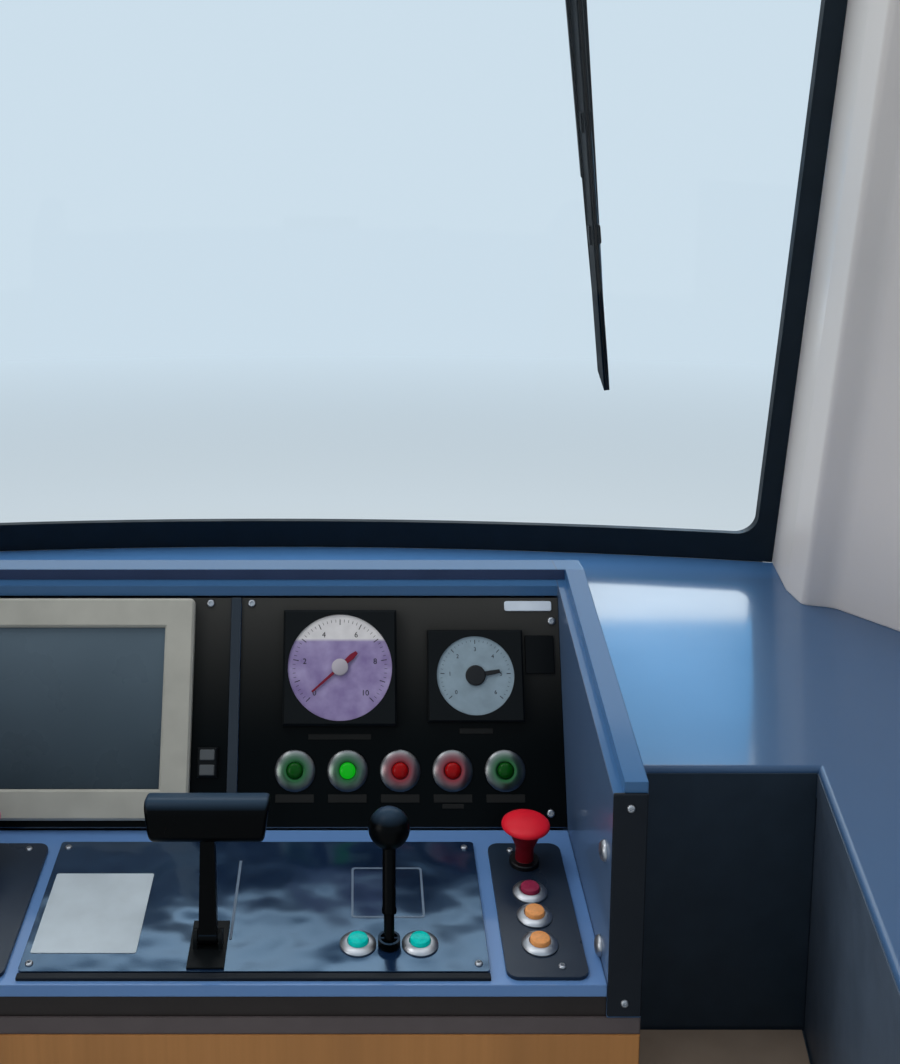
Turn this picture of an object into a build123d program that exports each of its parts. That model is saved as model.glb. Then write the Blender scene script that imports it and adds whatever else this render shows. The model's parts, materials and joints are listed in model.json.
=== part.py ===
"""Driver's cab front module of a metro car: windscreen, wiper, ledge, console, desk and cupboard.

Frame: millimetres, +X to the driver's right, +Y forward through the windscreen, +Z up, floor at z = 0,
origin at the middle of the footprint.
"""
from build123d import *
from math import acos, cos, pi, radians, sin, sqrt, tan
import os

os.makedirs("parts", exist_ok=True)

# Clearances
seat_gap = 0.3
moving_gap = 5.0
running_gap = 0.05

# Shell
cab_depth = 1300.0
nose_side_width = 36.6
header_height = 200.0
flare_angle = 20.7
rake_angle = 13.4
floor_thickness = 30.0
upper_wall = 80.0
lower_wall = 30.0
front_wall_thickness = 92.0
front_wall_chamfer = 42.0
nose_corner_radius = 60.0
floor_bolt_radius = 7.0
floor_bolt_pitch_x = 700.0
floor_bolt_pitch_y = 160.0
floor_bolt_rear_margin = 50.0

# Windscreen
nose_radius = 3000.0
glass_half_width = 687.0
glass_top = 1800.0
glass_thickness = 10.0
seal_thickness = 14.0
seal_side = 24.0
seal_bottom = 40.0
seal_top = 44.0
seal_corner_radius = 26.0
header_inner = 60.0
pillar_skin = 26.0

# Pillar, in plan
pillar_reveal_step = 21.0
pillar_reveal_depth = 125.0
pillar_face_depth = 59.0
pillar_step = 34.0
pillar_step_depth = 13.0
pillar_depth = 285.0
pillar_corner_radius = 10.0
pillar_hollow_radius = 26.0

# Ledge
ledge_top = 780.0
ledge_thickness = 28.0
ledge_front_y = -162.0
ledge_edge_radius = 5.0
ledge_inner_x = 528.0
ledge_inner_angle = 10.5
cabinet_panel = 20.0

# Niche beside the console
niche_floor_top = 528.0
niche_wall = 20.0

# Console
console_half_width = 332.0
console_wall = 25.0
console_front_y = -363.0
console_back_y = 250.0
cheek_front_top = 861.0
hood_top = 935.0
hood_front_y = -80.0
hood_crest = 31.0
rim_step = 10.0
rim_lip = 8.0
hood_lip = 10.0
lip_thickness = 12.0
cabinet_top_level = 677.0

# Instrument panel: the plane through its upper and lower edge, seen from the side
panel_top_y = -90.0
panel_top_z = 912.0
panel_bottom_y = -176.0
panel_bottom_z = 729.0
panel_plate = 4.0
panel_margin = 1.0
fascia_plate = 12.0
fascia_margin = 6.0
divider_x = 13.0
divider_width = 9.0
divider_rise = 2.0

# Display
display_width = 248.0
display_height = 192.0
display_frame = 26.0
display_rise = 10.0
display_corner = 4.5
display_edge = 2.0
display_lift = 2.0
display_gap = 6.2
screen_thickness = 5.0

# Instruments, placed by x and by the distance down from the panel's upper edge
gauge_x = 107.7
gauge_down = 64.0
gauge_dial_radius = 48.5
gauge_rim = 2.5
gauge_rise = 10.0
gauge_edge = 2.0
gauge_body = 92.0
gauge_depth = 38.0
meter_x = 229.3
meter_down = 71.0
meter_width = 86.0
meter_height = 81.0
meter_dial_radius = 35.0
meter_rise = 7.0
meter_edge = 1.5
meter_body = 68.0
meter_depth = 30.0
dial_recess = 3.0
dial_thickness = 1.5
rocker_x = -9.0
rocker_down = 146.0
rocker_width = 18.0
rocker_length = 26.0
rocker_rise = 5.0
rocker_edge = 1.5
indicator_first_x = 68.3
indicator_pitch = 46.35
indicator_down = 153.0
ring_radius = 18.0
ring_rise = 3.5
lens_radius = 7.6
lens_rise = 7.0

# Desk
desk_front_z = 703.0
desk_plate = 14.0
desk_lip = 9.0
desk_lip_depth = 20.0
control_plate = 3.0
main_plate_back = 22.0
main_plate_front = 178.0
main_plate_corner = 3.0
right_plate_margin = 11.7
right_plate_width = 61.0
right_plate_gap = 12.0
left_plate_margin = 9.7
left_plate_width = 158.0
left_plate_gap = 10.0
side_plate_back = 24.0
side_plate_front = 184.0
side_plate_corner = 9.0
stop_shift = -2.0
stop_down = 50.0
stop_radius = 20.0
stop_rise = 42.0
stop_rim_low = 35.0
stop_rim_high = 38.0
stop_crown_radius = 11.0
stop_cone_radius = 15.5
stop_cone_low = 17.0
stop_stem_radius = 7.5
mushroom_inset = 103.0
mushroom_down = 42.0
button_downs = (88.6, 117.4, 149.2)
button_ring_radius = 14.0
button_ring_rise = 3.0
button_radius = 7.5
button_rise = 7.0
teal_down = 149.2
teal_spread = 23.65
teal_ring_radius = 14.0
teal_radius = 8.5
key_inset = 52.0
key_down = 60.0
key_radius = 11.0
key_rise = 4.5
key_slot = 2.0
apron_thickness = 18.0
apron_setback = 2.0

# Master controller
controller_x = 10.0
controller_down = 150.0
controller_pivot = 8.0
controller_lean = 6.0
controller_length = 92.0
controller_bar = 14.0
controller_bar_depth = 10.0
controller_bar_taper = 1.5
controller_base_width = 28.0
controller_base_length = 52.0
controller_base_height = 1.5
controller_ear = 3.0
controller_ear_gap = 1.0
controller_pin_radius = 4.0
controller_eye_wall = 2.0
handle_width = 95.0
handle_foot_width = 86.0
handle_height = 33.0
handle_depth = 30.0
handle_edge_radius = 6.0

# Direction lever
lever_x = 147.45
lever_down = 150.0
lever_lean = 10.0
lever_length = 84.0
lever_radius = 4.0
lever_pin_radius = 1.5
lever_collar_radius = 8.5
lever_collar_bore = 6.5
lever_pivot_rise = 5.5
lever_tail = 2.0
knob_radius = 16.0
knob_flat = 14.4
knob_bands = 5

# Cupboard
plinth_height = 90.0
board = 18.0
door_thickness = 18.0
door_corner = 3.0
rail_height = 50.0
toe_depth = 40.0
cabinet_top_board = 13.0
hinge_radius = 4.5
hinge_pin_radius = 2.5
hinge_length = 60.0
hinge_inset = 90.0
hinge_clearance = 0.5
hinge_leaf = 2.0
hinge_leaf_margin = 3.0
hinge_leaf_width = 34.0

# Wiper
wiper_pivot_x = 348.0
wiper_pivot_rise = 50.0
wiper_tilt = 7.8
wiper_reach = 580.0
wiper_blade_length = 590.0
wiper_blade_width = 15.0
wiper_blade_height = 22.0
wiper_arm_width = 34.0
wiper_arm_tip_width = 20.0
wiper_arm_thickness = 8.0
wiper_arm_gap = 1.0
wiper_hub_radius = 20.0
wiper_pin_radius = 6.0
wiper_pin_end = 6.0
wiper_boss_depth = 60.0
wiper_glass_gap = 7.0

# Headlamps
lamp_margin = 218.0
lamp_z = 560.0
lamp_width = 230.0
lamp_height = 110.0
lamp_depth = 40.0
lamp_corner = 30.0

cab_height = glass_top + header_height
pillar_inner_x = glass_half_width - pillar_reveal_step
wiper_pivot_z = glass_top + wiper_pivot_rise
rear_y = -cab_depth / 2
nose_centre_y = cab_depth / 2 - front_wall_thickness - nose_radius
rake = (0, -sin(radians(rake_angle)), cos(radians(rake_angle)))
panel_rise = sqrt((panel_top_y - panel_bottom_y) ** 2 + (panel_top_z - panel_bottom_z) ** 2)
desk_run = panel_bottom_y - console_front_y


def nose_y(x, outward):
    """Forward place of the nose's arc at x, moved outward from the windscreen's inner face."""
    return nose_centre_y + sqrt((nose_radius + outward) ** 2 - x**2)


glass_edge_y = nose_y(glass_half_width, 0)
rear_half_width = glass_half_width + nose_side_width + (glass_edge_y - rear_y) * tan(radians(flare_angle))


def side_x(y, inward):
    """Half width of the flared side at y, moved inward from the outer skin."""
    skin = rear_half_width - (y - rear_y) * tan(radians(flare_angle))
    return skin - inward / cos(radians(flare_angle))


def niche_x(y):
    """Place of the side ledge's inner edge at y."""
    return ledge_inner_x + (y - ledge_front_y) * tan(radians(ledge_inner_angle))


def raked(height):
    """Length along the windscreen's slope that climbs the given height."""
    return height / cos(radians(rake_angle))


def save(part, label):
    """Name a finished piece and write it."""
    part.label = label
    export_step(part, f"parts/{label}.step")


def side_names(part, name):
    """Write the right-hand piece and its mirror image on the left."""
    save(part, f"{name}_right")
    with BuildPart() as other_hand:
        add(part)
        mirror(about=Plane.YZ, mode=Mode.REPLACE)
    save(other_hand.part, f"{name}_left")


panel_plane = Plane(
    origin=(0, panel_top_y, panel_top_z),
    x_dir=(1, 0, 0),
    z_dir=(0, panel_bottom_z - panel_top_z, panel_top_y - panel_bottom_y),
)
desk_plane = Plane(
    origin=(0, panel_bottom_y, panel_bottom_z),
    x_dir=(1, 0, 0),
    z_dir=(0, desk_front_z - panel_bottom_z, desk_run),
)

# Floor plate
nose_corner_x = side_x(nose_y(glass_half_width, front_wall_thickness), 0)
lamp_x = nose_corner_x - lamp_margin
with BuildPart() as floor_plate:
    with BuildSketch(Plane.XY):
        with BuildLine():
            front_arc = ThreePointArc(
                (-nose_corner_x, nose_y(nose_corner_x, front_wall_thickness)),
                (0, nose_y(0, front_wall_thickness)),
                (nose_corner_x, nose_y(nose_corner_x, front_wall_thickness)),
            )
            Polyline(
                front_arc @ 1,
                (rear_half_width, rear_y),
                (-rear_half_width, rear_y),
                front_arc @ 0,
            )
        make_face()
    extrude(amount=floor_thickness)
    fillet(floor_plate.edges().filter_by(Axis.Z).sort_by(Axis.Y)[-2:], nose_corner_radius)
    with BuildSketch(Plane.XY.offset(floor_thickness)):
        with Locations((0, rear_y + floor_bolt_rear_margin + floor_bolt_pitch_y / 2)):
            with GridLocations(floor_bolt_pitch_x, floor_bolt_pitch_y, 2, 2):
                Circle(floor_bolt_radius)
    extrude(amount=-floor_thickness, mode=Mode.SUBTRACT)
save(floor_plate.part, "floor_plate")

# Front wall, below the windscreen
with BuildPart() as front_wall:
    with BuildSketch(Plane.XY.offset(floor_thickness + seat_gap)):
        with BuildLine():
            outer_arc = ThreePointArc(
                (-nose_corner_x, nose_y(nose_corner_x, front_wall_thickness)),
                (0, nose_y(0, front_wall_thickness)),
                (nose_corner_x, nose_y(nose_corner_x, front_wall_thickness)),
            )
            inner_x = side_x(nose_y(nose_corner_x, seat_gap), 0)
            inner_arc = ThreePointArc(
                (inner_x, nose_y(inner_x, seat_gap)),
                (0, nose_y(0, seat_gap)),
                (-inner_x, nose_y(inner_x, seat_gap)),
            )
            Line(outer_arc @ 1, inner_arc @ 0)
            Line(inner_arc @ 1, outer_arc @ 0)
        make_face()
    extrude(amount=ledge_top - floor_thickness - seat_gap)
    fillet(front_wall.edges().filter_by(Axis.Z).sort_by(Axis.Y)[-2:], nose_corner_radius)
    sill = front_wall.faces().sort_by(Axis.Z)[-1].edges().sort_by(Axis.Y)
    chamfer(sill[-1], front_wall_chamfer)
    for lamp_side in (-1, 1):
        with BuildSketch(Plane((lamp_side * lamp_x, cab_depth / 2, lamp_z), (-1, 0, 0), (0, 1, 0))):
            RectangleRounded(lamp_width, lamp_height, lamp_corner)
        pocket_reach = lamp_depth + cab_depth / 2 - nose_y(lamp_x, front_wall_thickness)
        extrude(amount=-pocket_reach, mode=Mode.SUBTRACT)
save(front_wall.part, "front_wall")

# Headlamps, each a lens unit in its pocket
lamp_back_y = nose_y(lamp_x, front_wall_thickness) - lamp_depth
with BuildPart() as headlamp:
    with BuildSketch(Plane((lamp_x, lamp_back_y + seat_gap, lamp_z), (-1, 0, 0), (0, 1, 0))):
        RectangleRounded(
            lamp_width - 2 * seat_gap,
            lamp_height - 2 * seat_gap,
            lamp_corner - seat_gap,
        )
    extrude(amount=lamp_depth * 2)
    with BuildSketch(Plane.XY.offset(lamp_z - lamp_height)):
        with BuildLine():
            lens_arc = ThreePointArc(
                (0, nose_y(0, front_wall_thickness)),
                (lamp_x, nose_y(lamp_x, front_wall_thickness)),
                (2 * lamp_x, nose_y(2 * lamp_x, front_wall_thickness)),
            )
            Polyline(lens_arc @ 1, (2 * lamp_x, cab_depth), (0, cab_depth), lens_arc @ 0)
        make_face()
    extrude(amount=2 * lamp_height, mode=Mode.SUBTRACT)
side_names(headlamp.part, "headlamp")

# Side walls: a thin lower skin behind the furniture and the full wall, raked like the glass, above it
pillar_rear_y = glass_edge_y - pillar_depth
wall_overrun = (cab_height - ledge_top) * tan(radians(rake_angle))
with BuildPart() as side_wall:
    lower_front_y = nose_y(side_x(glass_edge_y, 0), 0) - seat_gap
    with BuildSketch(Plane.XY.offset(floor_thickness + seat_gap)):
        with BuildLine():
            Polyline(
                (side_x(rear_y, 0), rear_y),
                (side_x(lower_front_y, 0), lower_front_y),
                (side_x(lower_front_y, lower_wall), lower_front_y),
                (side_x(rear_y, lower_wall), rear_y),
                close=True,
            )
        make_face()
    extrude(amount=ledge_top - floor_thickness)
    with BuildSketch(Plane.XY.offset(ledge_top + seat_gap)):
        with BuildLine():
            Polyline(
                (side_x(rear_y, 0), rear_y),
                (side_x(pillar_rear_y - seat_gap, 0), pillar_rear_y - seat_gap),
                (side_x(pillar_rear_y - seat_gap, upper_wall), pillar_rear_y - seat_gap),
                (side_x(rear_y, upper_wall), rear_y),
                close=True,
            )
        make_face()
    extrude(amount=raked(cab_height - ledge_top - seat_gap), dir=rake)
    with BuildSketch(Plane.XZ.offset(-rear_y)):
        with Locations((0, cab_height / 2)):
            Rectangle(2 * rear_half_width + 2 * upper_wall, 2 * cab_height)
    extrude(amount=wall_overrun + upper_wall, mode=Mode.SUBTRACT)
side_names(side_wall.part, "side_wall")

# Windscreen pillar, standing on the ledge
with BuildPart() as pillar:
    glass_edge_x = glass_half_width + seat_gap
    pillar_front_y = nose_y(glass_half_width, pillar_skin)
    reveal_y = glass_edge_y - pillar_reveal_depth
    face_y = reveal_y - pillar_face_depth
    step_y = face_y - pillar_step_depth
    with BuildSketch(Plane.XY.offset(ledge_top + seat_gap)) as pillar_plan:
        with BuildLine():
            Polyline(
                (glass_edge_x, pillar_front_y),
                (glass_edge_x, glass_edge_y),
                (pillar_inner_x, reveal_y),
                (pillar_inner_x, face_y),
                (pillar_inner_x + pillar_step, step_y),
                (side_x(pillar_rear_y, upper_wall), pillar_rear_y),
                (side_x(pillar_rear_y, 0), pillar_rear_y),
                (side_x(pillar_front_y, 0), pillar_front_y),
                close=True,
            )
        make_face()
        face_corner = pillar_plan.vertices().sort_by_distance((pillar_inner_x, face_y, 0))[0]
        fillet(face_corner, pillar_corner_radius)
        step_corner = pillar_plan.vertices().sort_by_distance((pillar_inner_x + pillar_step, step_y, 0))[0]
        fillet(step_corner, pillar_hollow_radius)
    extrude(amount=raked(cab_height - ledge_top - seat_gap), dir=rake)
side_names(pillar.part, "pillar")

# Header above the glass
with BuildPart() as header:
    header_slope = (glass_half_width - pillar_inner_x) / pillar_reveal_depth
    header_inner_x = glass_half_width - header_inner * header_slope
    header_drop = (glass_top - ledge_top) * tan(radians(rake_angle))
    with BuildSketch(Plane(origin=(0, -header_drop, glass_top + seat_gap))):
        with BuildLine():
            header_front = ThreePointArc(
                (-glass_half_width, nose_y(glass_half_width, pillar_skin)),
                (0, nose_y(0, pillar_skin)),
                (glass_half_width, nose_y(glass_half_width, pillar_skin)),
            )
            header_back = ThreePointArc(
                (header_inner_x, glass_edge_y - header_inner),
                (0, nose_y(0, 0) - header_inner),
                (-header_inner_x, glass_edge_y - header_inner),
            )
            Polyline(header_front @ 1, (glass_half_width, glass_edge_y), header_back @ 0)
            Polyline(header_back @ 1, (-glass_half_width, glass_edge_y), header_front @ 0)
        make_face()
    extrude(amount=raked(cab_height - glass_top - seat_gap), dir=rake)
save(header.part, "header")


def nose_band(plane, half_width, inside, outside):
    """Plan of a curved sheet that follows the windscreen, as a sketch on the given plane."""
    with BuildSketch(plane) as band:
        with BuildLine():
            far_arc = ThreePointArc(
                (-half_width, nose_y(half_width, outside)),
                (0, nose_y(0, outside)),
                (half_width, nose_y(half_width, outside)),
            )
            near_arc = ThreePointArc(
                (half_width, nose_y(half_width, inside)),
                (0, nose_y(0, inside)),
                (-half_width, nose_y(half_width, inside)),
            )
            Line(far_arc @ 1, near_arc @ 0)
            Line(near_arc @ 1, far_arc @ 0)
        make_face()
    return band.sketch


# Windscreen seal: the black border, with its rounded window
glass_height = glass_top - ledge_top - seat_gap
glass_base_plane = Plane.XY.offset(ledge_top + seat_gap)
with BuildPart() as windscreen_seal:
    seal_plan = nose_band(glass_base_plane, glass_half_width, 0, seal_thickness)
    extrude(seal_plan, amount=raked(glass_height), dir=rake)
    with BuildSketch(Plane.XZ.offset(-cab_depth)):
        with Locations((0, (ledge_top + seal_bottom + glass_top - seal_top) / 2)):
            RectangleRounded(
                2 * (glass_half_width - seal_side),
                glass_top - ledge_top - seal_bottom - seal_top,
                seal_corner_radius,
            )
    extrude(amount=2 * cab_depth, mode=Mode.SUBTRACT)
save(windscreen_seal.part, "windscreen_seal")

# Windscreen glass, on the outside of the seal
with BuildPart() as windscreen_glass:
    glass_inside = seal_thickness + seat_gap
    glass_plan = nose_band(glass_base_plane, glass_half_width, glass_inside, glass_inside + glass_thickness)
    extrude(glass_plan, amount=raked(glass_height), dir=rake)
save(windscreen_glass.part, "windscreen_glass")

# Ledge, round the console and back along both sides
with BuildPart() as ledge:
    skin_in = lower_wall + seat_gap
    corner_x = side_x(glass_edge_y, skin_in)
    corner_y = nose_y(corner_x, -seat_gap)
    with BuildSketch(Plane.XY.offset(ledge_top - ledge_thickness)):
        with BuildLine():
            glass_line = ThreePointArc(
                (-corner_x, corner_y), (0, nose_y(0, -seat_gap)), (corner_x, corner_y)
            )
            Polyline(
                glass_line @ 1,
                (side_x(rear_y, skin_in), rear_y),
                (niche_x(rear_y), rear_y),
                (niche_x(ledge_front_y), ledge_front_y),
                (console_half_width + seat_gap, ledge_front_y),
                (console_half_width + seat_gap, console_back_y + seat_gap),
                (-console_half_width - seat_gap, console_back_y + seat_gap),
                (-console_half_width - seat_gap, ledge_front_y),
                (-niche_x(ledge_front_y), ledge_front_y),
                (-niche_x(rear_y), rear_y),
                (-side_x(rear_y, skin_in), rear_y),
                glass_line @ 0,
            )
        make_face()
    extrude(amount=ledge_thickness)
    niche_edges = [
        edge
        for edge in ledge.faces().sort_by(Axis.Z)[-1].edges()
        if console_half_width < abs(edge.center().X) < ledge_inner_x and edge.center().Y < ledge_front_y + 1
    ]
    fillet(niche_edges, ledge_edge_radius)
save(ledge.part, "ledge")

# Side cabinets: an inner panel below the side ledge and a panel closing its rear end
with BuildPart() as side_cabinet:
    cabinet_front_y = ledge_front_y + niche_wall
    cabinet_out = side_x(rear_y, lower_wall) - seat_gap
    with BuildSketch(Plane.XY.offset(floor_thickness + seat_gap)):
        with BuildLine():
            Polyline(
                (niche_x(cabinet_front_y), cabinet_front_y),
                (niche_x(rear_y), rear_y),
                (cabinet_out, rear_y),
                (side_x(rear_y + cabinet_panel, lower_wall) - seat_gap, rear_y + cabinet_panel),
                (niche_x(rear_y + cabinet_panel) + cabinet_panel, rear_y + cabinet_panel),
                (niche_x(cabinet_front_y) + cabinet_panel, cabinet_front_y),
                close=True,
            )
        make_face()
    extrude(amount=ledge_top - ledge_thickness - floor_thickness - 2 * seat_gap)
side_names(side_cabinet.part, "side_cabinet")

# Niche between the console and the side cabinet: a back wall, a floor and the panel below it
with BuildPart() as niche:
    niche_under = ledge_top - ledge_thickness - seat_gap
    with BuildSketch(Plane.YZ.offset(console_half_width + seat_gap)):
        with BuildLine():
            Polyline(
                (ledge_front_y, niche_under),
                (ledge_front_y + niche_wall, niche_under),
                (ledge_front_y + niche_wall, niche_floor_top - niche_wall),
                (console_front_y + niche_wall, niche_floor_top - niche_wall),
                (console_front_y + niche_wall, floor_thickness + seat_gap),
                (console_front_y, floor_thickness + seat_gap),
                (console_front_y, niche_floor_top),
                (ledge_front_y, niche_floor_top),
                close=True,
            )
        make_face()
    extrude(amount=ledge_inner_x)
    with BuildSketch(Plane.XY):
        with BuildLine():
            Polyline(
                (console_half_width + seat_gap, console_front_y),
                (niche_x(console_front_y) - seat_gap, console_front_y),
                (niche_x(cabinet_front_y) - seat_gap, cabinet_front_y),
                (console_half_width + seat_gap, cabinet_front_y),
                close=True,
            )
        make_face()
    extrude(amount=ledge_top, mode=Mode.INTERSECT)
side_names(niche.part, "niche")

# Console shell: two cheeks, the stepped rim and the hood that slopes down to the ledge
back_slope = (hood_top - ledge_top) / (console_back_y - hood_front_y - hood_crest)
hood_back_y = hood_front_y + hood_crest
rim_slope = (hood_top - cheek_front_top) / (hood_front_y - console_front_y)
with BuildPart() as console_shell:
    with BuildSketch(Plane.YZ.offset(-console_half_width)):
        with BuildLine():
            Polyline(
                (console_front_y, cabinet_top_level + seat_gap),
                (console_front_y, cheek_front_top),
                (hood_front_y, hood_top),
                (hood_back_y, hood_top),
                (console_back_y, ledge_top),
                (console_back_y, cabinet_top_level + seat_gap),
                close=True,
            )
        make_face()
    extrude(amount=2 * console_half_width)
    with BuildSketch(Plane.YZ.offset(-console_half_width + console_wall)):
        with BuildLine():
            inner_drop = console_wall * sqrt(1 + back_slope**2)
            under_lip = hood_top - rim_step - lip_thickness
            inner_top_y = hood_back_y + (hood_top - inner_drop - under_lip) / back_slope
            Polyline(
                (console_front_y - console_wall, cabinet_top_level - console_wall),
                (console_front_y - console_wall, hood_top + console_wall),
                (hood_front_y, hood_top + console_wall),
                (hood_front_y, hood_top - rim_step),
                (hood_front_y - hood_lip, hood_top - rim_step),
                (hood_front_y - hood_lip, under_lip),
                (inner_top_y, under_lip),
                (console_back_y - console_wall, ledge_top - inner_drop + console_wall * back_slope),
                (console_back_y - console_wall, cabinet_top_level - console_wall),
                close=True,
            )
        make_face()
    extrude(amount=2 * (console_half_width - console_wall), mode=Mode.SUBTRACT)
    with BuildSketch(Plane.YZ.offset(-console_half_width + console_wall - rim_lip)):
        with BuildLine():
            Polyline(
                (console_front_y, cheek_front_top - rim_step),
                (hood_front_y, hood_top - rim_step),
                (hood_front_y, hood_top + console_wall),
                (console_front_y, hood_top + console_wall),
                close=True,
            )
        make_face()
    extrude(amount=2 * (console_half_width - console_wall + rim_lip), mode=Mode.SUBTRACT)
save(console_shell.part, "console_shell")

inner_half = console_half_width - console_wall - seat_gap
right_plate_right = inner_half - right_plate_margin
right_plate_left = right_plate_right - right_plate_width
left_plate_left = -inner_half + left_plate_margin
left_plate_right = left_plate_left + left_plate_width
main_plate_left = left_plate_right + left_plate_gap
main_plate_right = right_plate_left - right_plate_gap
stop_x = (right_plate_left + right_plate_right) / 2 + stop_shift
mushroom_x = left_plate_left + mushroom_inset
key_x = left_plate_left + key_inset

# Console fascia: the plate that carries the instrument panels, with the divider strip
fascia_top = fascia_margin
fascia_bottom = panel_rise - panel_margin
with BuildPart() as console_fascia:
    with BuildSketch(panel_plane.offset(-panel_plate - seat_gap)):
        with Locations((0, -(fascia_top + fascia_bottom) / 2)):
            Rectangle(2 * inner_half, fascia_bottom - fascia_top)
    extrude(amount=-fascia_plate)
    with BuildSketch(panel_plane.offset(-panel_plate - seat_gap)):
        with Locations((divider_x, -(fascia_top + fascia_bottom) / 2)):
            Rectangle(divider_width, fascia_bottom - fascia_top)
    extrude(amount=panel_plate + seat_gap + divider_rise)
    with BuildSketch(panel_plane):
        with Locations((gauge_x, -gauge_down)):
            Rectangle(gauge_body, gauge_body)
        with Locations((meter_x, -meter_down)):
            Rectangle(meter_body, meter_body)
    extrude(amount=-2 * fascia_plate, mode=Mode.SUBTRACT)
save(console_fascia.part, "console_fascia")

# Instrument panels
panel_top_edge = panel_margin
panel_bottom_edge = panel_rise - 2 * panel_margin
left_panel_right = divider_x - divider_width / 2 - seat_gap
right_panel_left = divider_x + divider_width / 2 + seat_gap
with BuildPart() as instrument_panel_left:
    with BuildSketch(panel_plane):
        with Locations(((left_panel_right - inner_half) / 2, -(panel_top_edge + panel_bottom_edge) / 2)):
            Rectangle(left_panel_right + inner_half, panel_bottom_edge - panel_top_edge)
    extrude(amount=-panel_plate)
save(instrument_panel_left.part, "instrument_panel_left")

with BuildPart() as instrument_panel_right:
    with BuildSketch(panel_plane):
        with Locations(((right_panel_left + inner_half) / 2, -(panel_top_edge + panel_bottom_edge) / 2)):
            Rectangle(inner_half - right_panel_left, panel_bottom_edge - panel_top_edge)
        with Locations((gauge_x, -gauge_down)):
            Rectangle(gauge_body, gauge_body, mode=Mode.SUBTRACT)
        with Locations((meter_x, -meter_down)):
            Rectangle(meter_body, meter_body, mode=Mode.SUBTRACT)
    extrude(amount=-panel_plate)
save(instrument_panel_right.part, "instrument_panel_right")

# Display: a raised bezel round the sunk screen
display_x = rocker_x - rocker_width / 2 - display_gap - display_width / 2
display_down = (panel_top_edge + panel_bottom_edge) / 2 - display_lift
with BuildPart() as display_bezel:
    with BuildSketch(panel_plane.offset(seat_gap)):
        with Locations((display_x, -display_down)):
            RectangleRounded(display_width, display_height, display_corner)
    extrude(amount=display_rise)
    with BuildSketch(panel_plane.offset(seat_gap)):
        with Locations((display_x, -display_down)):
            Rectangle(display_width - 2 * display_frame, display_height - 2 * display_frame)
    extrude(amount=display_rise, mode=Mode.SUBTRACT)
    chamfer(display_bezel.faces().sort_by(Axis((0, 0, 0), panel_plane.z_dir))[-1].edges(), display_edge)
save(display_bezel.part, "display_bezel")

with BuildPart() as display_screen:
    with BuildSketch(panel_plane.offset(seat_gap)):
        with Locations((display_x, -display_down)):
            Rectangle(
                display_width - 2 * display_frame - 2 * seat_gap,
                display_height - 2 * display_frame - 2 * seat_gap,
            )
    extrude(amount=screen_thickness)
save(display_screen.part, "display_screen")

# Rocker switch
with BuildPart() as rocker_switch:
    with BuildSketch(panel_plane.offset(seat_gap)):
        with Locations((rocker_x, -rocker_down)):
            Rectangle(rocker_width, rocker_length)
    extrude(amount=rocker_rise)
    chamfer(rocker_switch.faces().sort_by(Axis((0, 0, 0), panel_plane.z_dir))[-1].edges(), rocker_edge)
save(rocker_switch.part, "rocker_switch")

# Pressure gauge: a square-flanged case sunk in the panel, and its dial
with BuildPart() as pressure_gauge_case:
    with BuildSketch(panel_plane.offset(seat_gap)):
        with Locations((gauge_x, -gauge_down)):
            Rectangle(2 * (gauge_dial_radius + gauge_rim), 2 * (gauge_dial_radius + gauge_rim))
    extrude(amount=gauge_rise)
    chamfer(pressure_gauge_case.faces().sort_by(Axis((0, 0, 0), panel_plane.z_dir))[-1].edges(), gauge_edge)
    with BuildSketch(panel_plane.offset(seat_gap)):
        with Locations((gauge_x, -gauge_down)):
            Rectangle(gauge_body - 2 * seat_gap, gauge_body - 2 * seat_gap)
    extrude(amount=-gauge_depth)
    with BuildSketch(panel_plane.offset(gauge_rise - dial_recess)):
        with Locations((gauge_x, -gauge_down)):
            Circle(gauge_dial_radius - dial_thickness)
    extrude(amount=gauge_rise, mode=Mode.SUBTRACT)
save(pressure_gauge_case.part, "pressure_gauge_case")

with BuildPart() as pressure_gauge_dial:
    with BuildSketch(panel_plane.offset(gauge_rise - dial_recess + seat_gap)):
        with Locations((gauge_x, -gauge_down)):
            Circle(gauge_dial_radius - dial_thickness - seat_gap)
    extrude(amount=dial_thickness)
save(pressure_gauge_dial.part, "pressure_gauge_dial")

# Square panel meter: case and dial
with BuildPart() as panel_meter_case:
    with BuildSketch(panel_plane.offset(seat_gap)):
        with Locations((meter_x, -meter_down)):
            Rectangle(meter_width, meter_height)
    extrude(amount=meter_rise)
    chamfer(panel_meter_case.faces().sort_by(Axis((0, 0, 0), panel_plane.z_dir))[-1].edges(), meter_edge)
    with BuildSketch(panel_plane.offset(seat_gap)):
        with Locations((meter_x, -meter_down)):
            Rectangle(meter_body - 2 * seat_gap, meter_body - 2 * seat_gap)
    extrude(amount=-meter_depth)
    with BuildSketch(panel_plane.offset(meter_rise - dial_recess)):
        with Locations((meter_x, -meter_down)):
            Circle(meter_dial_radius)
    extrude(amount=meter_rise, mode=Mode.SUBTRACT)
save(panel_meter_case.part, "panel_meter_case")

with BuildPart() as panel_meter_dial:
    with BuildSketch(panel_plane.offset(meter_rise - dial_recess + seat_gap)):
        with Locations((meter_x, -meter_down)):
            Circle(meter_dial_radius - seat_gap)
    extrude(amount=dial_thickness)
save(panel_meter_dial.part, "panel_meter_dial")


def discs(plane, places, radius, low, high):
    """Round discs standing on a panel between two heights, one at each place."""
    with BuildPart() as pieces:
        with BuildSketch(plane.offset(low)):
            with Locations(places):
                Circle(radius)
        extrude(amount=high - low)
    return pieces.part


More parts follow.
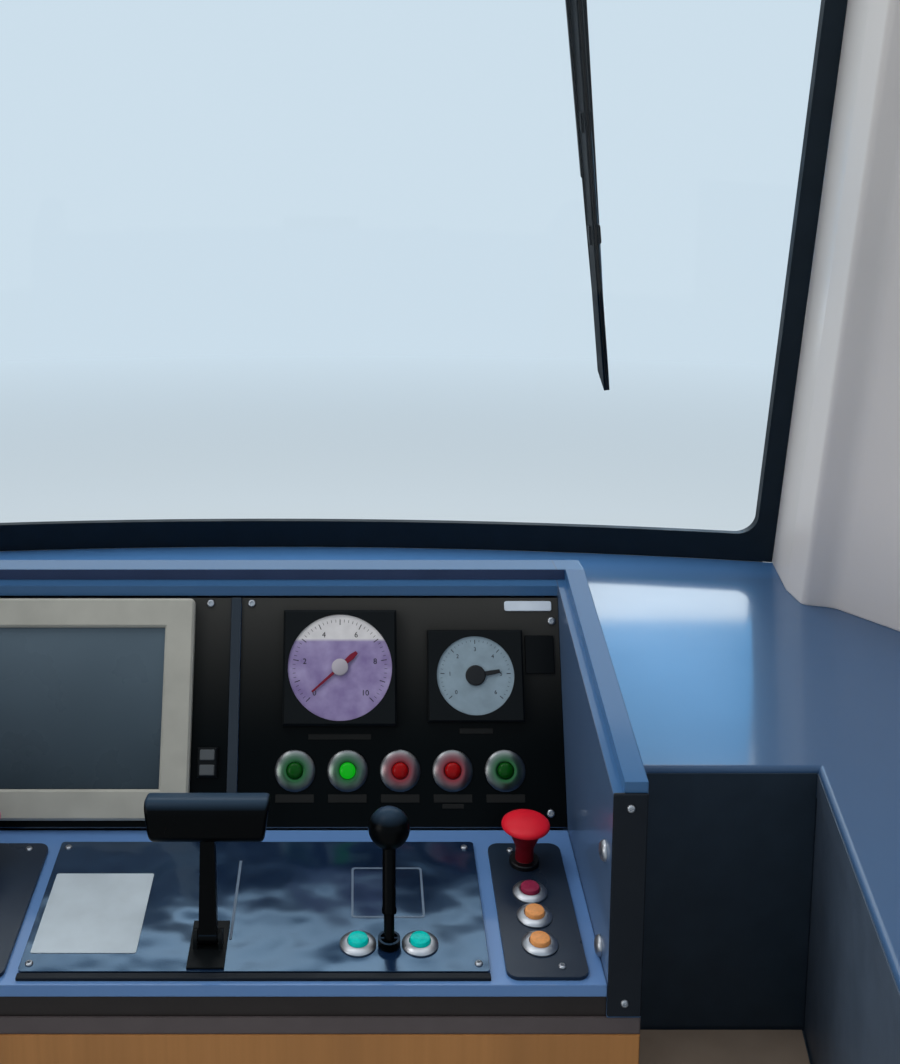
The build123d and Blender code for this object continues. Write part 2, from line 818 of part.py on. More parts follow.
def turned(plane, place, profile):
    """A turned piece; the profile lists (radius, height) from its foot up."""
    foot = plane.from_local_coords(Vector(*place, 0))
    section = Plane(foot, x_dir=plane.x_dir, z_dir=plane.x_dir.cross(plane.z_dir))
    with BuildPart() as piece:
        with BuildSketch(section):
            with BuildLine():
                Polyline((0, profile[0][1]), *profile, (0, profile[-1][1]), close=True)
            make_face()
        revolve(axis=Axis(foot, plane.z_dir))
    return piece.part


# Indicator row: each place has its bezel, and a lens whose colour goes by its node
indicator_places = [(indicator_first_x + k * indicator_pitch, -indicator_down) for k in range(5)]
green_places = [indicator_places[k] for k in (0, 1, 4)]
red_places = [indicator_places[k] for k in (2, 3)]
lens_low = ring_rise + seat_gap
save(discs(panel_plane, indicator_places, ring_radius, seat_gap, ring_rise), "indicator_rings")
save(discs(panel_plane, green_places, lens_radius, lens_low, lens_rise), "indicator_lenses_green")
save(discs(panel_plane, red_places, lens_radius, lens_low, lens_rise), "indicator_lenses_red")

# Desk top, with its front lip
with BuildPart() as desk_top:
    with BuildSketch(Plane.YZ.offset(-inner_half)):
        with BuildLine():
            slope = (panel_bottom_z - desk_front_z) / desk_run
            rear_desk_y = panel_bottom_y - panel_margin
            lip_bottom = desk_front_z - desk_lip
            Polyline(
                (rear_desk_y, panel_bottom_z - slope),
                (console_front_y, desk_front_z),
                (console_front_y, lip_bottom),
                (console_front_y + desk_lip_depth, lip_bottom),
                (console_front_y + desk_lip_depth, desk_front_z + slope * desk_lip_depth - desk_plate),
                (rear_desk_y, panel_bottom_z - slope - desk_plate),
                close=True,
            )
        make_face()
    extrude(amount=2 * inner_half)
save(desk_top.part, "desk_top")


def desk_panel(left, right, back, front, corner):
    """A thin plate lying on the desk."""
    with BuildPart() as plate:
        with BuildSketch(desk_plane.offset(seat_gap)):
            with Locations(((left + right) / 2, -(back + front) / 2)):
                RectangleRounded(right - left, front - back, corner)
        extrude(amount=control_plate)
    return plate.part


main_panel = desk_panel(
    main_plate_left, main_plate_right, main_plate_back, main_plate_front, main_plate_corner
)
save(main_panel, "control_panel_main")
right_panel = desk_panel(
    right_plate_left, right_plate_right, side_plate_back, side_plate_front, side_plate_corner
)
save(right_panel, "control_panel_right")
left_panel = desk_panel(
    left_plate_left, left_plate_right, side_plate_back, side_plate_front, side_plate_corner
)
save(left_panel, "control_panel_left")

control_plane = desk_plane.offset(seat_gap + control_plate)


# Mushroom-headed push buttons: stem, cone and a shallow crowned cap
mushroom_section = [
    (stop_stem_radius, seat_gap),
    (stop_stem_radius, stop_cone_low),
    (stop_cone_radius, stop_rim_low),
    (stop_radius, stop_rim_low),
    (stop_radius, stop_rim_high),
    (stop_crown_radius, stop_rise),
]
save(turned(control_plane, (stop_x, -stop_down), mushroom_section), "emergency_stop")
save(turned(control_plane, (mushroom_x, -mushroom_down), mushroom_section), "mushroom_button")

# Desk buttons, each on its bezel
desk_places = [(stop_x, -down) for down in button_downs]
teal_places = [(lever_x - teal_spread, -teal_down), (lever_x + teal_spread, -teal_down)]
with BuildPart() as button_rings:
    add(discs(control_plane, desk_places, button_ring_radius, seat_gap, button_ring_rise))
    add(discs(control_plane, teal_places, teal_ring_radius, seat_gap, button_ring_rise))
save(button_rings.part, "button_rings")
button_low = button_ring_rise + seat_gap
save(discs(control_plane, desk_places[:1], button_radius, button_low, button_rise), "button_red")
save(discs(control_plane, desk_places[1:], button_radius, button_low, button_rise), "buttons_amber")
save(discs(control_plane, teal_places, teal_radius, button_low, button_rise), "buttons_teal")

# Key switch
with BuildPart() as key_switch:
    with BuildSketch(control_plane.offset(seat_gap)):
        with Locations((key_x, -key_down)):
            Circle(key_radius)
    extrude(amount=key_rise)
    with BuildSketch(control_plane.offset(key_rise - key_slot)):
        with Locations((key_x, -key_down)):
            Rectangle(key_slot, key_radius)
    extrude(amount=key_rise, mode=Mode.SUBTRACT)
save(key_switch.part, "key_switch")

# Master controller: a foot plate with two ears and a pin, and the lever that turns on it
controller_pivot_place = Vector(controller_x, -controller_down, controller_pivot)
controller_pivot_point = control_plane.from_local_coords(controller_pivot_place)
controller_side = Plane(controller_pivot_point, x_dir=(0, 1, 0), z_dir=(1, 0, 0))
eye_radius = controller_pin_radius + controller_eye_wall
ear_start = controller_bar / 2 + controller_ear_gap
with BuildPart() as controller_base:
    with BuildSketch(control_plane.offset(seat_gap)):
        with Locations((controller_x, -controller_down)):
            Rectangle(controller_base_width, controller_base_length)
    extrude(amount=controller_base_height - seat_gap)
    for ear_side in (-1, 1):
        ear_plane = Plane(
            controller_pivot_point + Vector(ear_side * ear_start, 0, 0),
            x_dir=(0, ear_side, 0),
            z_dir=(ear_side, 0, 0),
        )
        with BuildSketch(ear_plane):
            Circle(eye_radius)
            with Locations((0, -controller_pivot / 2)):
                Rectangle(2 * eye_radius, controller_pivot)
        extrude(amount=controller_ear)
    split(bisect_by=control_plane.offset(seat_gap), keep=Keep.TOP)
    with BuildSketch(controller_side.offset(-ear_start)):
        Circle(controller_pin_radius)
    extrude(amount=2 * ear_start)
save(controller_base.part, "controller_base")

lever_tilt = radians(controller_lean)
lever_frame = Plane(controller_pivot_point, x_dir=(1, 0, 0), z_dir=(0, sin(lever_tilt), cos(lever_tilt)))
with BuildPart() as master_lever:
    with BuildSketch(controller_side.offset(-controller_bar / 2)):
        Circle(eye_radius)
    extrude(amount=controller_bar)
    with BuildSketch(lever_frame):
        Rectangle(controller_bar, controller_bar_depth)
    with BuildSketch(lever_frame.offset(controller_length - handle_height / 2 - seat_gap)):
        Rectangle(controller_bar - 2 * controller_bar_taper, controller_bar_depth)
    loft()
    with BuildSketch(controller_side.offset(-controller_bar)):
        Circle(controller_pin_radius + running_gap)
    extrude(amount=2 * controller_bar, mode=Mode.SUBTRACT)
save(master_lever.part, "master_lever")

# T-handle: wider at the top, with rounded long edges
handle_plane = Plane(
    lever_frame.from_local_coords(Vector(0, 0, controller_length)),
    x_dir=(1, 0, 0),
    z_dir=(0, -cos(lever_tilt), sin(lever_tilt)),
)
with BuildPart() as t_handle:
    with BuildSketch(handle_plane):
        with BuildLine():
            Polyline(
                (-handle_foot_width / 2, -handle_height / 2),
                (handle_foot_width / 2, -handle_height / 2),
                (handle_width / 2, handle_height / 2),
                (-handle_width / 2, handle_height / 2),
                close=True,
            )
        make_face()
    extrude(amount=handle_depth / 2, both=True)
    fillet(t_handle.edges().filter_by(Axis.X), handle_edge_radius)
save(t_handle.part, "t_handle")

# Direction lever: a collar with a cross pin, the round lever and its ball knob
lever_pivot_point = control_plane.from_local_coords(Vector(lever_x, -lever_down, lever_pivot_rise))
with BuildPart() as lever_collar:
    with BuildSketch(control_plane.offset(seat_gap)):
        with Locations((lever_x, -lever_down)):
            Circle(lever_collar_radius)
            Circle(lever_collar_bore, mode=Mode.SUBTRACT)
    extrude(amount=lever_pivot_rise + lever_pin_radius - seat_gap)
    pin_reach = (lever_collar_bore + lever_collar_radius) / 2
    with BuildSketch(Plane(lever_pivot_point, x_dir=(0, 1, 0), z_dir=(1, 0, 0)).offset(-pin_reach)):
        Circle(lever_pin_radius)
    extrude(amount=2 * pin_reach)
save(lever_collar.part, "lever_collar")

small_frame = Plane(
    lever_pivot_point,
    x_dir=(1, 0, 0),
    z_dir=(0, sin(radians(lever_lean)), cos(radians(lever_lean))),
)
with BuildPart() as direction_lever:
    with BuildSketch(small_frame.offset(-lever_tail)):
        Circle(lever_radius)
    extrude(amount=lever_length - knob_flat - seat_gap + lever_tail)
    with BuildSketch(Plane(lever_pivot_point, x_dir=(0, 1, 0), z_dir=(1, 0, 0)).offset(-lever_collar_bore)):
        Circle(lever_pin_radius + running_gap)
    extrude(amount=2 * lever_collar_bore, mode=Mode.SUBTRACT)
save(direction_lever.part, "direction_lever")

# Ball knob, flat where it meets the lever
knob_start = acos(knob_flat / knob_radius)
knob_turn = (pi - 2 * knob_start) / knob_bands
knob_angles = [knob_start + k * knob_turn for k in range(knob_bands + 1)]
knob_section = [(knob_radius * sin(a), lever_length - knob_radius * cos(a)) for a in knob_angles]
save(turned(small_frame, (0, 0), knob_section), "lever_knob")

# Apron below the desk's lip
with BuildPart() as apron:
    with BuildSketch(Plane.YZ.offset(-inner_half)):
        with BuildLine():
            apron_top = desk_front_z - desk_lip - seat_gap
            Polyline(
                (console_front_y + apron_setback, cabinet_top_level + seat_gap),
                (console_front_y + apron_setback, apron_top),
                (console_front_y + apron_thickness, apron_top),
                (console_front_y + apron_thickness, cabinet_top_level + seat_gap),
                close=True,
            )
        make_face()
    extrude(amount=2 * inner_half)
save(apron.part, "apron")

# Cupboard below the console
cabinet_top_under = cabinet_top_level - cabinet_top_board
with BuildPart() as cabinet_top:
    with BuildSketch(Plane.XY.offset(cabinet_top_under)):
        with Locations((0, (console_front_y + console_back_y) / 2)):
            Rectangle(2 * console_half_width, console_back_y - console_front_y)
    extrude(amount=cabinet_top_level - cabinet_top_under)
save(cabinet_top.part, "cabinet_top")

side_bottom = floor_thickness + seat_gap
with BuildPart() as cabinet_side:
    with BuildSketch(Plane.XY.offset(side_bottom)):
        with Locations((console_half_width - board / 2, (console_front_y + console_back_y) / 2)):
            Rectangle(board, console_back_y - console_front_y)
    extrude(amount=cabinet_top_under - seat_gap - side_bottom)
side_names(cabinet_side.part, "cabinet_side")

# Bottom board on its toe board, and the rail above the doors
cabinet_half = console_half_width - board - seat_gap
rail_top = cabinet_top_under - seat_gap
with BuildPart() as cabinet_base:
    with BuildSketch(Plane.YZ.offset(-cabinet_half)):
        with BuildLine():
            Polyline(
                (console_front_y + toe_depth, side_bottom),
                (console_front_y + toe_depth, plinth_height - board),
                (console_front_y, plinth_height - board),
                (console_front_y, plinth_height),
                (console_back_y - board - seat_gap, plinth_height),
                (console_back_y - board - seat_gap, plinth_height - board),
                (console_front_y + toe_depth + board, plinth_height - board),
                (console_front_y + toe_depth + board, side_bottom),
                close=True,
            )
        make_face()
        with Locations((console_front_y + board / 2, rail_top - rail_height / 2)):
            Rectangle(board, rail_height)
    extrude(amount=2 * cabinet_half)
save(cabinet_base.part, "cabinet_base")

with BuildPart() as cabinet_back:
    with BuildSketch(Plane.XY.offset(side_bottom)):
        with Locations((0, console_back_y - board / 2)):
            Rectangle(2 * cabinet_half, board)
    extrude(amount=cabinet_top_under - seat_gap - side_bottom)
save(cabinet_back.part, "cabinet_back")

# Cupboard doors, inset between the cupboard's sides, each on two pin hinges at its outer front corner
door_bottom = plinth_height + moving_gap
door_top = rail_top - rail_height - moving_gap
door_outer = console_half_width - board - moving_gap
hinge_x = console_half_width - board
hinge_y = console_front_y - hinge_radius - hinge_clearance
hinge_levels = (door_bottom + hinge_inset, door_top - hinge_inset - hinge_length)
with BuildPart() as door:
    with BuildSketch(Plane.XY.offset(door_bottom)):
        with Locations(((door_outer + moving_gap / 2) / 2, console_front_y + door_thickness / 2)):
            Rectangle(door_outer - moving_gap / 2, door_thickness)
    extrude(amount=door_top - door_bottom)
    chamfer(door.edges().filter_by(Axis.Y), door_corner)
    for level in hinge_levels:
        knuckle_start = level + hinge_length / 2 + hinge_clearance
        with BuildSketch(Plane.XY.offset(knuckle_start)):
            with Locations((hinge_x, hinge_y)):
                Circle(hinge_radius)
            with BuildLine():
                Polyline(
                    (hinge_x, hinge_y + hinge_radius),
                    (hinge_x, hinge_y),
                    (hinge_x - hinge_leaf_width, console_front_y - hinge_leaf),
                    (hinge_x - hinge_leaf_width, console_front_y),
                    (hinge_x - moving_gap - hinge_clearance, console_front_y),
                    close=True,
                )
            make_face()
        extrude(amount=hinge_length / 2 - hinge_clearance)
        with BuildSketch(Plane.XY.offset(knuckle_start)):
            with Locations((hinge_x, hinge_y)):
                Circle(hinge_pin_radius + running_gap)
        extrude(amount=hinge_length / 2 - hinge_clearance, mode=Mode.SUBTRACT)
side_names(door.part, "door")

# Fixed hinge halves with their pins, on the front edges of the cupboard's sides
with BuildPart() as door_hinges:
    for level in hinge_levels:
        with BuildSketch(Plane.XY.offset(level)):
            with Locations((hinge_x, hinge_y)):
                Circle(hinge_radius)
            with BuildLine():
                Polyline(
                    (hinge_x, hinge_y),
                    (hinge_x + hinge_radius, hinge_y),
                    (hinge_x + board - hinge_leaf_margin, console_front_y - hinge_leaf - seat_gap),
                    (hinge_x + board - hinge_leaf_margin, console_front_y - seat_gap),
                    (hinge_x, console_front_y - seat_gap),
                    close=True,
                )
            make_face()
        extrude(amount=hinge_length / 2)
        with BuildSketch(Plane.XY.offset(level)):
            with Locations((hinge_x, hinge_y)):
                Circle(hinge_pin_radius)
        extrude(amount=hinge_length)
    mirror(about=Plane.YZ)
save(door_hinges.part, "door_hinges")

# Wiper, in the plane that touches the glass in the middle, and a boss on the header that carries it
glass_normal = (0, cos(radians(rake_angle)), sin(radians(rake_angle)))
outer_y = nose_y(0, seal_thickness + glass_thickness)
pivot_y = outer_y - (wiper_pivot_z - ledge_top) * tan(radians(rake_angle))
wiper_plane = Plane(origin=(wiper_pivot_x, pivot_y, wiper_pivot_z), x_dir=(-1, 0, 0), z_dir=glass_normal)
arm_low = wiper_glass_gap + wiper_blade_height + wiper_arm_gap
with BuildPart() as wiper_boss:
    with BuildSketch(wiper_plane.offset(arm_low - moving_gap)):
        Circle(wiper_hub_radius)
    extrude(amount=-wiper_boss_depth)
    with BuildSketch(wiper_plane.offset(arm_low - moving_gap)):
        Circle(wiper_pin_radius)
    extrude(amount=moving_gap + wiper_arm_thickness + wiper_pin_end)
    header_plan = nose_band(
        Plane(origin=(0, -header_drop, glass_top)), glass_half_width, -header_inner, pillar_skin + seat_gap
    )
    extrude(header_plan, amount=raked(cab_height - glass_top), dir=rake, mode=Mode.SUBTRACT)
save(wiper_boss.part, "wiper_boss")

tilt_sin = sin(radians(wiper_tilt))
tilt_cos = cos(radians(wiper_tilt))
arm_plane = Plane(
    origin=wiper_plane.origin,
    x_dir=(-tilt_cos, -tilt_sin * rake[1], -tilt_sin * rake[2]),
    z_dir=glass_normal,
)
with BuildPart() as wiper_arm:
    with BuildSketch(arm_plane.offset(arm_low)):
        Circle(wiper_hub_radius)
        with BuildLine():
            Polyline(
                (-wiper_arm_width / 2, 0),
                (wiper_arm_width / 2, 0),
                (wiper_arm_tip_width / 2, -wiper_reach),
                (-wiper_arm_tip_width / 2, -wiper_reach),
                close=True,
            )
        make_face()
    extrude(amount=wiper_arm_thickness)
    with BuildSketch(arm_plane.offset(arm_low)):
        Circle(wiper_pin_radius + running_gap)
    extrude(amount=wiper_arm_thickness, mode=Mode.SUBTRACT)
save(wiper_arm.part, "wiper_arm")

# Wiper blade: rubber and bridge in one tapered strip, hung under the end of the arm
with BuildPart() as wiper_blade:
    with BuildSketch(arm_plane.offset(wiper_glass_gap)):
        with Locations((0, -wiper_reach)):
            Rectangle(wiper_blade_width / 2, wiper_blade_length)
    with BuildSketch(arm_plane.offset(wiper_glass_gap + wiper_blade_height)):
        with Locations((0, -wiper_reach)):
            Rectangle(wiper_blade_width, wiper_blade_length - 2 * wiper_blade_height)
    loft()
save(wiper_blade.part, "wiper_blade")
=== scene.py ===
"""Looks of the driver's cab front module: finishes, small fittings, dial faces, screws and the stage."""
import json
import math

import bmesh
import bpy
from mathutils import Matrix, Vector


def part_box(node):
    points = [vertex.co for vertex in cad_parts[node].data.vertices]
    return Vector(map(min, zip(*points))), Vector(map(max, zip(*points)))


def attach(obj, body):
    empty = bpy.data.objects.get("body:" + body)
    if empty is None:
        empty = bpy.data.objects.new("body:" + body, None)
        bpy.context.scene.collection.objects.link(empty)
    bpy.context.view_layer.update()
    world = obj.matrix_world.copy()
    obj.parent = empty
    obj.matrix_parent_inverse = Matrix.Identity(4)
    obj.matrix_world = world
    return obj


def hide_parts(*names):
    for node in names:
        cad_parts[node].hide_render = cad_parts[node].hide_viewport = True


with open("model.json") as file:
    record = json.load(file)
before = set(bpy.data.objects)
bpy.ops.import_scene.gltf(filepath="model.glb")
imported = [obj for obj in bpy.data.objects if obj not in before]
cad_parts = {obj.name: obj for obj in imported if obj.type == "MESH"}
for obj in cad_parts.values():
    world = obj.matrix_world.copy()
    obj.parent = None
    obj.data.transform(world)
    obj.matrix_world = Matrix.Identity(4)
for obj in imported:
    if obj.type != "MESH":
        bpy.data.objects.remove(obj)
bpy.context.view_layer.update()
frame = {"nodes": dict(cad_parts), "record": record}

NODES = frame["nodes"]
MM = 0.001
SHARP_ANGLE = math.radians(35.0)

# The photograph's frame and the camera solved from it
PHOTO_WIDTH = 900
PHOTO_HEIGHT = 1064
FOCAL_PIXELS = 1312.0
PRINCIPAL_X = 357.0
PRINCIPAL_Y = 389.0
CAMERA_PLACE = (0.123, -1.250, 1.280)
CAMERA_PITCH = 8.6
SENSOR = 36.0

# Places shared with the construction, in metres
PANEL_ORIGIN = (0.0, -0.090, 0.912)
PANEL_NORMAL = (0.0, -0.183, 0.086)
DESK_ORIGIN = (0.0, -0.176, 0.729)
DESK_NORMAL = (0.0, -0.026, 0.187)
RAKE = math.radians(13.4)
WIPER_PIVOT = (0.348, 0.32709, 1.850)
WIPER_TILT = math.radians(7.8)
KNOB_LEAN = math.radians(10.0)
HANDLE_LEAN = math.radians(6.0)
CHEEK_FRONT = -0.363
CHEEK_INNER = 0.307
LEDGE_FRONT = -0.162
LEDGE_INNER = 0.528
LEDGE_ANGLE = math.radians(10.5)

# Places on the instrument panel and on the desk, in millimetres to the right and down
GAUGE_SPOT = (107.7, 64.0)
METER_SPOT = (229.3, 71.0)
LAMP_FIRST = 68.3
LAMP_PITCH = 46.35
LAMP_DOWN = 153.0
LAMP_COUNT = 5
RED_LAMPS = (2, 3)
LIT_LAMP = 1
SELECTOR_X = 147.45
TEAL_OFFSET = 23.65
BUTTON_X = 262.5

# Heights above the panel's and the desk's plane, in millimetres
PANEL_FACE = 0.0
PLATE_FACE = 3.3
GAUGE_DIAL_FACE = 8.8
METER_DIAL_FACE = 5.8

# Reach of colour changes that go by place, in metres: the cheeks' painted shade, the lit lamp, the bezels'
# painted lens glow and the doors' metal
CHEEK_NEAR = 0.0006
LENS_NEAR = 0.014
BEZEL_GLOW_REACH = (0.0085, 0.0165)
LEAF_RISE = (0.0004, 0.0002)

# Levels between which the painted sheen on the panel and on the display grows, in metres
PANEL_SHEEN_LEVELS = (0.7825, 0.908)
SCREEN_SHEEN_LEVELS = (0.745, 0.890)
GAUGE_LEVEL = 24.0 * MM
LEVEL_BLUR = 1.2 * MM

# The stage
BACKDROP = (0.63, 0.75, 0.86)
FLOOR_COLOUR = (0.66, 0.69, 0.71)
SKY_COLOUR = (0.97, 0.985, 1.0)
SKY_DIRECTION = (0.0, 0.88, 0.48)
WORLD_BACK = 0.25
WORLD_FRONT = 0.57
FLOOR_REACH = 60.0


def plane(origin, normal):
    """Frame on a sloping face: X to the right, Y up the face, Z out of it."""
    out = Vector(normal).normalized()
    right = Vector((1, 0, 0))
    up = out.cross(right)
    turn = Matrix((right, up, out)).transposed().to_4x4()
    return Matrix.Translation(Vector(origin)) @ turn


PANEL = plane(PANEL_ORIGIN, PANEL_NORMAL)
DESK = plane(DESK_ORIGIN, DESK_NORMAL)
LEVER_PIVOT = DESK @ (Vector((SELECTOR_X, -150.0, 8.8)) * MM)
KNOB = plane(LEVER_PIVOT, (0.0, math.sin(KNOB_LEAN), math.cos(KNOB_LEAN)))


def wiper_frame():
    """Frame at the wiper's spindle: Z out from the glass, Y back along the arm."""
    out = Vector((0.0, math.cos(RAKE), math.sin(RAKE)))
    up = Vector((0.0, -math.sin(RAKE), math.cos(RAKE)))
    across = Vector((-1.0, 0.0, 0.0)) * math.cos(WIPER_TILT) - up * math.sin(WIPER_TILT)
    turn = Matrix((across, out.cross(across), out)).transposed().to_4x4()
    return Matrix.Translation(Vector(WIPER_PIVOT)) @ turn


WIPER = wiper_frame()


def cabinet_face(side, back, level):
    """Frame on the side cabinet's inner face: X along it, Y up, Z toward the cab's middle."""
    across = Vector((-math.sin(LEDGE_ANGLE), -side * math.cos(LEDGE_ANGLE), 0.0))
    up = Vector((0.0, 0.0, 1.0))
    turn = Matrix((across, up, across.cross(up))).transposed().to_4x4()
    x = side * (LEDGE_INNER - back * math.tan(LEDGE_ANGLE))
    return Matrix.Translation((x, LEDGE_FRONT - back, level)) @ turn


def at(face, x, down, height=0.0):
    """Frame at a place on a face, given in millimetres to the right, down and out."""
    return face @ Matrix.Translation(Vector((x, -down, height)) * MM)


def lamp_place(k):
    """Frame at the foot of one indicator lamp, counted from the left."""
    return at(PANEL, LAMP_FIRST + LAMP_PITCH * k, LAMP_DOWN)


def forward(x, y, z):
    """Frame on an upright face that looks back into the cab."""
    return plane((x, y, z), (0, -1, 0))


class Shade:
    """One procedural material: a principled shader and the nodes that feed it."""

    def __init__(self, name, colour, roughness=0.4, specular=0.5, ior=1.5, metallic=0.0,
                 coat=0.0, coat_roughness=0.05):
        self.material = bpy.data.materials.new(name)
        self.material.use_nodes = True
        self.tree = self.material.node_tree
        self.shader = self.tree.nodes["Principled BSDF"]
        self.set("Base Color", (*colour, 1.0))
        self.set("Roughness", roughness)
        self.set("Specular IOR Level", specular)
        self.set("IOR", ior)
        self.set("Metallic", metallic)
        self.set("Coat Weight", coat)
        self.set("Coat Roughness", coat_roughness)
        self.place = self.node("TexCoord").outputs["Object"]
        self.colour = colour
        self.normal = None

    def node(self, kind, **links):
        """A new node with its inputs fed; an underscore stands for a space in an input's name."""
        made = self.tree.nodes.new("ShaderNode" + kind)
        for socket, value in links.items():
            self.feed(made.inputs[socket.replace("_", " ")], value)
        return made

    def feed(self, socket, value):
        if isinstance(value, bpy.types.NodeSocket):
            self.tree.links.new(value, socket)
        else:
            socket.default_value = value

    def set(self, socket, value):
        self.feed(self.shader.inputs[socket], value)

    def noise(self, scale, detail=3.0, stretch=(1, 1, 1)):
        """Noise in metres: scale features per metre, stretched by axis."""
        mapping = self.node("Mapping", Vector=self.place, Scale=stretch)
        made = self.node("TexNoise", Vector=mapping.outputs[0], Scale=scale, Detail=detail)
        return made.outputs["Fac"]

    def range(self, value, low, high, start=0.3, end=0.7):
        """What runs from low to high while the value runs from start to end."""
        made = self.node("MapRange")
        self.feed(made.inputs["Value"], value)
        self.feed(made.inputs["From Min"], start)
        self.feed(made.inputs["From Max"], end)
        self.feed(made.inputs["To Min"], low)
        self.feed(made.inputs["To Max"], high)
        return made.outputs["Result"]

    def mix(self, factor, first, second):
        made = self.node("Mix")
        made.data_type = "RGBA"
        self.feed(made.inputs[0], factor)
        for socket, colour in ((made.inputs[6], first), (made.inputs[7], second)):
            self.feed(socket, colour if isinstance(colour, bpy.types.NodeSocket) else (*colour, 1.0))
        return made.outputs[2]

    def math(self, operation, first, second=0.0):
        made = self.node("Math")
        made.operation = operation
        self.feed(made.inputs[0], first)
        self.feed(made.inputs[1], second)
        return made.outputs[0]

    def axis(self, name):
        """One coordinate of the place, in metres."""
        return self.node("SeparateXYZ", Vector=self.place).outputs[name]

    def along(self, origin, direction):
        """Distance in metres from a place along a direction."""
        away = self.node("VectorMath")
        away.operation = "SUBTRACT"
        self.feed(away.inputs[0], self.place)
        away.inputs[1].default_value = origin
        dot = self.node("VectorMath")
        dot.operation = "DOT_PRODUCT"
        self.feed(dot.inputs[0], away.outputs[0])
        dot.inputs[1].default_value = direction
        return dot.outputs["Value"]

    def soft_edges(self, radius):
        """Edges that catch the light as if rounded by this radius."""
        made = self.node("Bevel", Radius=radius)
        made.samples = 4
        self.normal = made.outputs[0]
        self.set("Normal", self.normal)

    def bump(self, height, depth):
        """Relief of a depth in metres, on top of what is there."""
        made = self.node("Bump", Strength=1.0, Distance=depth, Height=height)
        if self.normal is not None:
            self.feed(made.inputs["Normal"], self.normal)
        self.normal = made.outputs[0]
        self.set("Normal", self.normal)

    def tinted(self, spread, scale):
        """Colour that drifts a little over the surface."""
        dark = tuple(c * (1 - spread) for c in self.colour)
        light = tuple(min(1.0, c * (1 + spread)) for c in self.colour)
        self.set("Base Color", self.mix(self.range(self.noise(scale), 0.0, 1.0), dark, light))

    def toward(self, share, colour):
        """Blend the base colour as it stands into another one."""
        body = self.shader.inputs["Base Color"].links[0].from_socket
        self.set("Base Color", self.mix(share, body, colour))

    def worn_gloss(self, low, high, scale):
        """Roughness that drifts between two values, as handling leaves it."""
        self.set("Roughness", self.range(self.noise(scale, 4.0), low, high))


def moulding(name, colour, roughness, edge, coat, specular, coat_roughness=0.06, fade=None, cheeks=None):
    """Gelcoated glass-fibre moulding: faint drift of colour, a trace of orange peel and a clear gloss.

    fade is (axis, start, end, colour) for a slow change of colour that paints light on the surface, and
    cheeks is the colour of the painted shade on the console cheeks' inner faces.
    """
    shade = Shade(name, colour, roughness, specular, coat=coat, coat_roughness=coat_roughness)
    shade.tinted(0.03, 2.5)
    # Painted light: a slow blend into another colour along one axis.
    if fade:
        axis, start, end, other = fade
        shade.toward(shade.range(shade.axis(axis), 0.0, 1.0, start, end), other)
    # Painted shade: the cheeks' inner faces are blended towards a duller blue.
    if cheeks:
        inner = shade.math("COMPARE", shade.math("ABSOLUTE", shade.axis("X")), CHEEK_INNER)
        inner.node.inputs[2].default_value = CHEEK_NEAR
        shade.toward(inner, cheeks)
    shade.worn_gloss(roughness * 0.9, roughness * 1.15, 6.0)
    shade.soft_edges(edge)
    shade.bump(shade.noise(120.0, 1.0), 0.000012)
    return shade.material


def panel_painted_sheen(name, low, high):
    """Black instrument panel with a painted sheen that makes it paler towards its upper edge."""
    shade = Shade(name, low, 0.42, 0.05)
    shade.tinted(0.08, 30.0)
    # Painted sheen: the black is blended towards a pale grey higher up the panel.
    shade.toward(shade.math("POWER", shade.range(shade.axis("Z"), 0.0, 1.0, *PANEL_SHEEN_LEVELS), 2.0), high)
    shade.worn_gloss(0.36, 0.50, 18.0)
    shade.soft_edges(0.0006)
    shade.bump(shade.noise(1500.0, 2.0), 0.00002)
    return shade.material


def powder_coat(name, colour, roughness=0.45, grain=900.0, depth=0.00004, edge=0.0006, specular=0.2,
                painted_top_sheen=None):
    """Fine textured paint or moulded plastic, with a painted sky sheen in the given colour on the faces that
    look up.
    """
    shade = Shade(name, colour, roughness, specular)
    shade.tinted(0.08, 30.0)
    # Painted highlight: faces that look up are blended towards a pale blue, standing in for the sky's sheen.
    if painted_top_sheen:
        upward = shade.node("SeparateXYZ", Vector=shade.node("NewGeometry").outputs["Normal"]).outputs["Z"]
        shade.toward(shade.range(upward, 0.0, 1.0, 0.45, 1.0), painted_top_sheen)
    shade.worn_gloss(roughness * 0.85, roughness * 1.2, 18.0)
    shade.soft_edges(edge)
    shade.bump(shade.noise(grain, 2.0), depth)
    return shade.material


def brushed_metal(name, colour, roughness, stretch=(40, 900, 900)):
    """Metal whose gloss changes in fine streaks."""
    shade = Shade(name, colour, roughness, metallic=1.0)
    shade.tinted(0.06, 60.0)
    shade.set("Roughness", shade.range(shade.noise(1.0, 3.0, stretch), roughness * 0.8, roughness * 1.4))
    shade.soft_edges(0.0004)
    return shade.material


def lens(name, colour, glow=0.0, lit=None):
    """Coloured moulded lens that glows, or of which only the lamp of that number is lit."""
    shade = Shade(name, colour, 0.22, 0.12)
    shade.tinted(0.12, 400.0)
    shade.bump(shade.noise(900.0, 1.0), 0.00003)
    if lit is not None:
        near = shade.math("COMPARE", shade.axis("X"), (LAMP_FIRST + LAMP_PITCH * lit) * MM)
        near.node.inputs[2].default_value = LENS_NEAR
        shade.set("Emission Color", (0.01, 1.0, 0.02, 1.0))
        shade.set("Emission Strength", shade.math("MULTIPLY", near, glow))
    elif glow:
        shade.set("Emission Color", (*colour, 1.0))
        shade.set("Emission Strength", glow)
    return shade.material


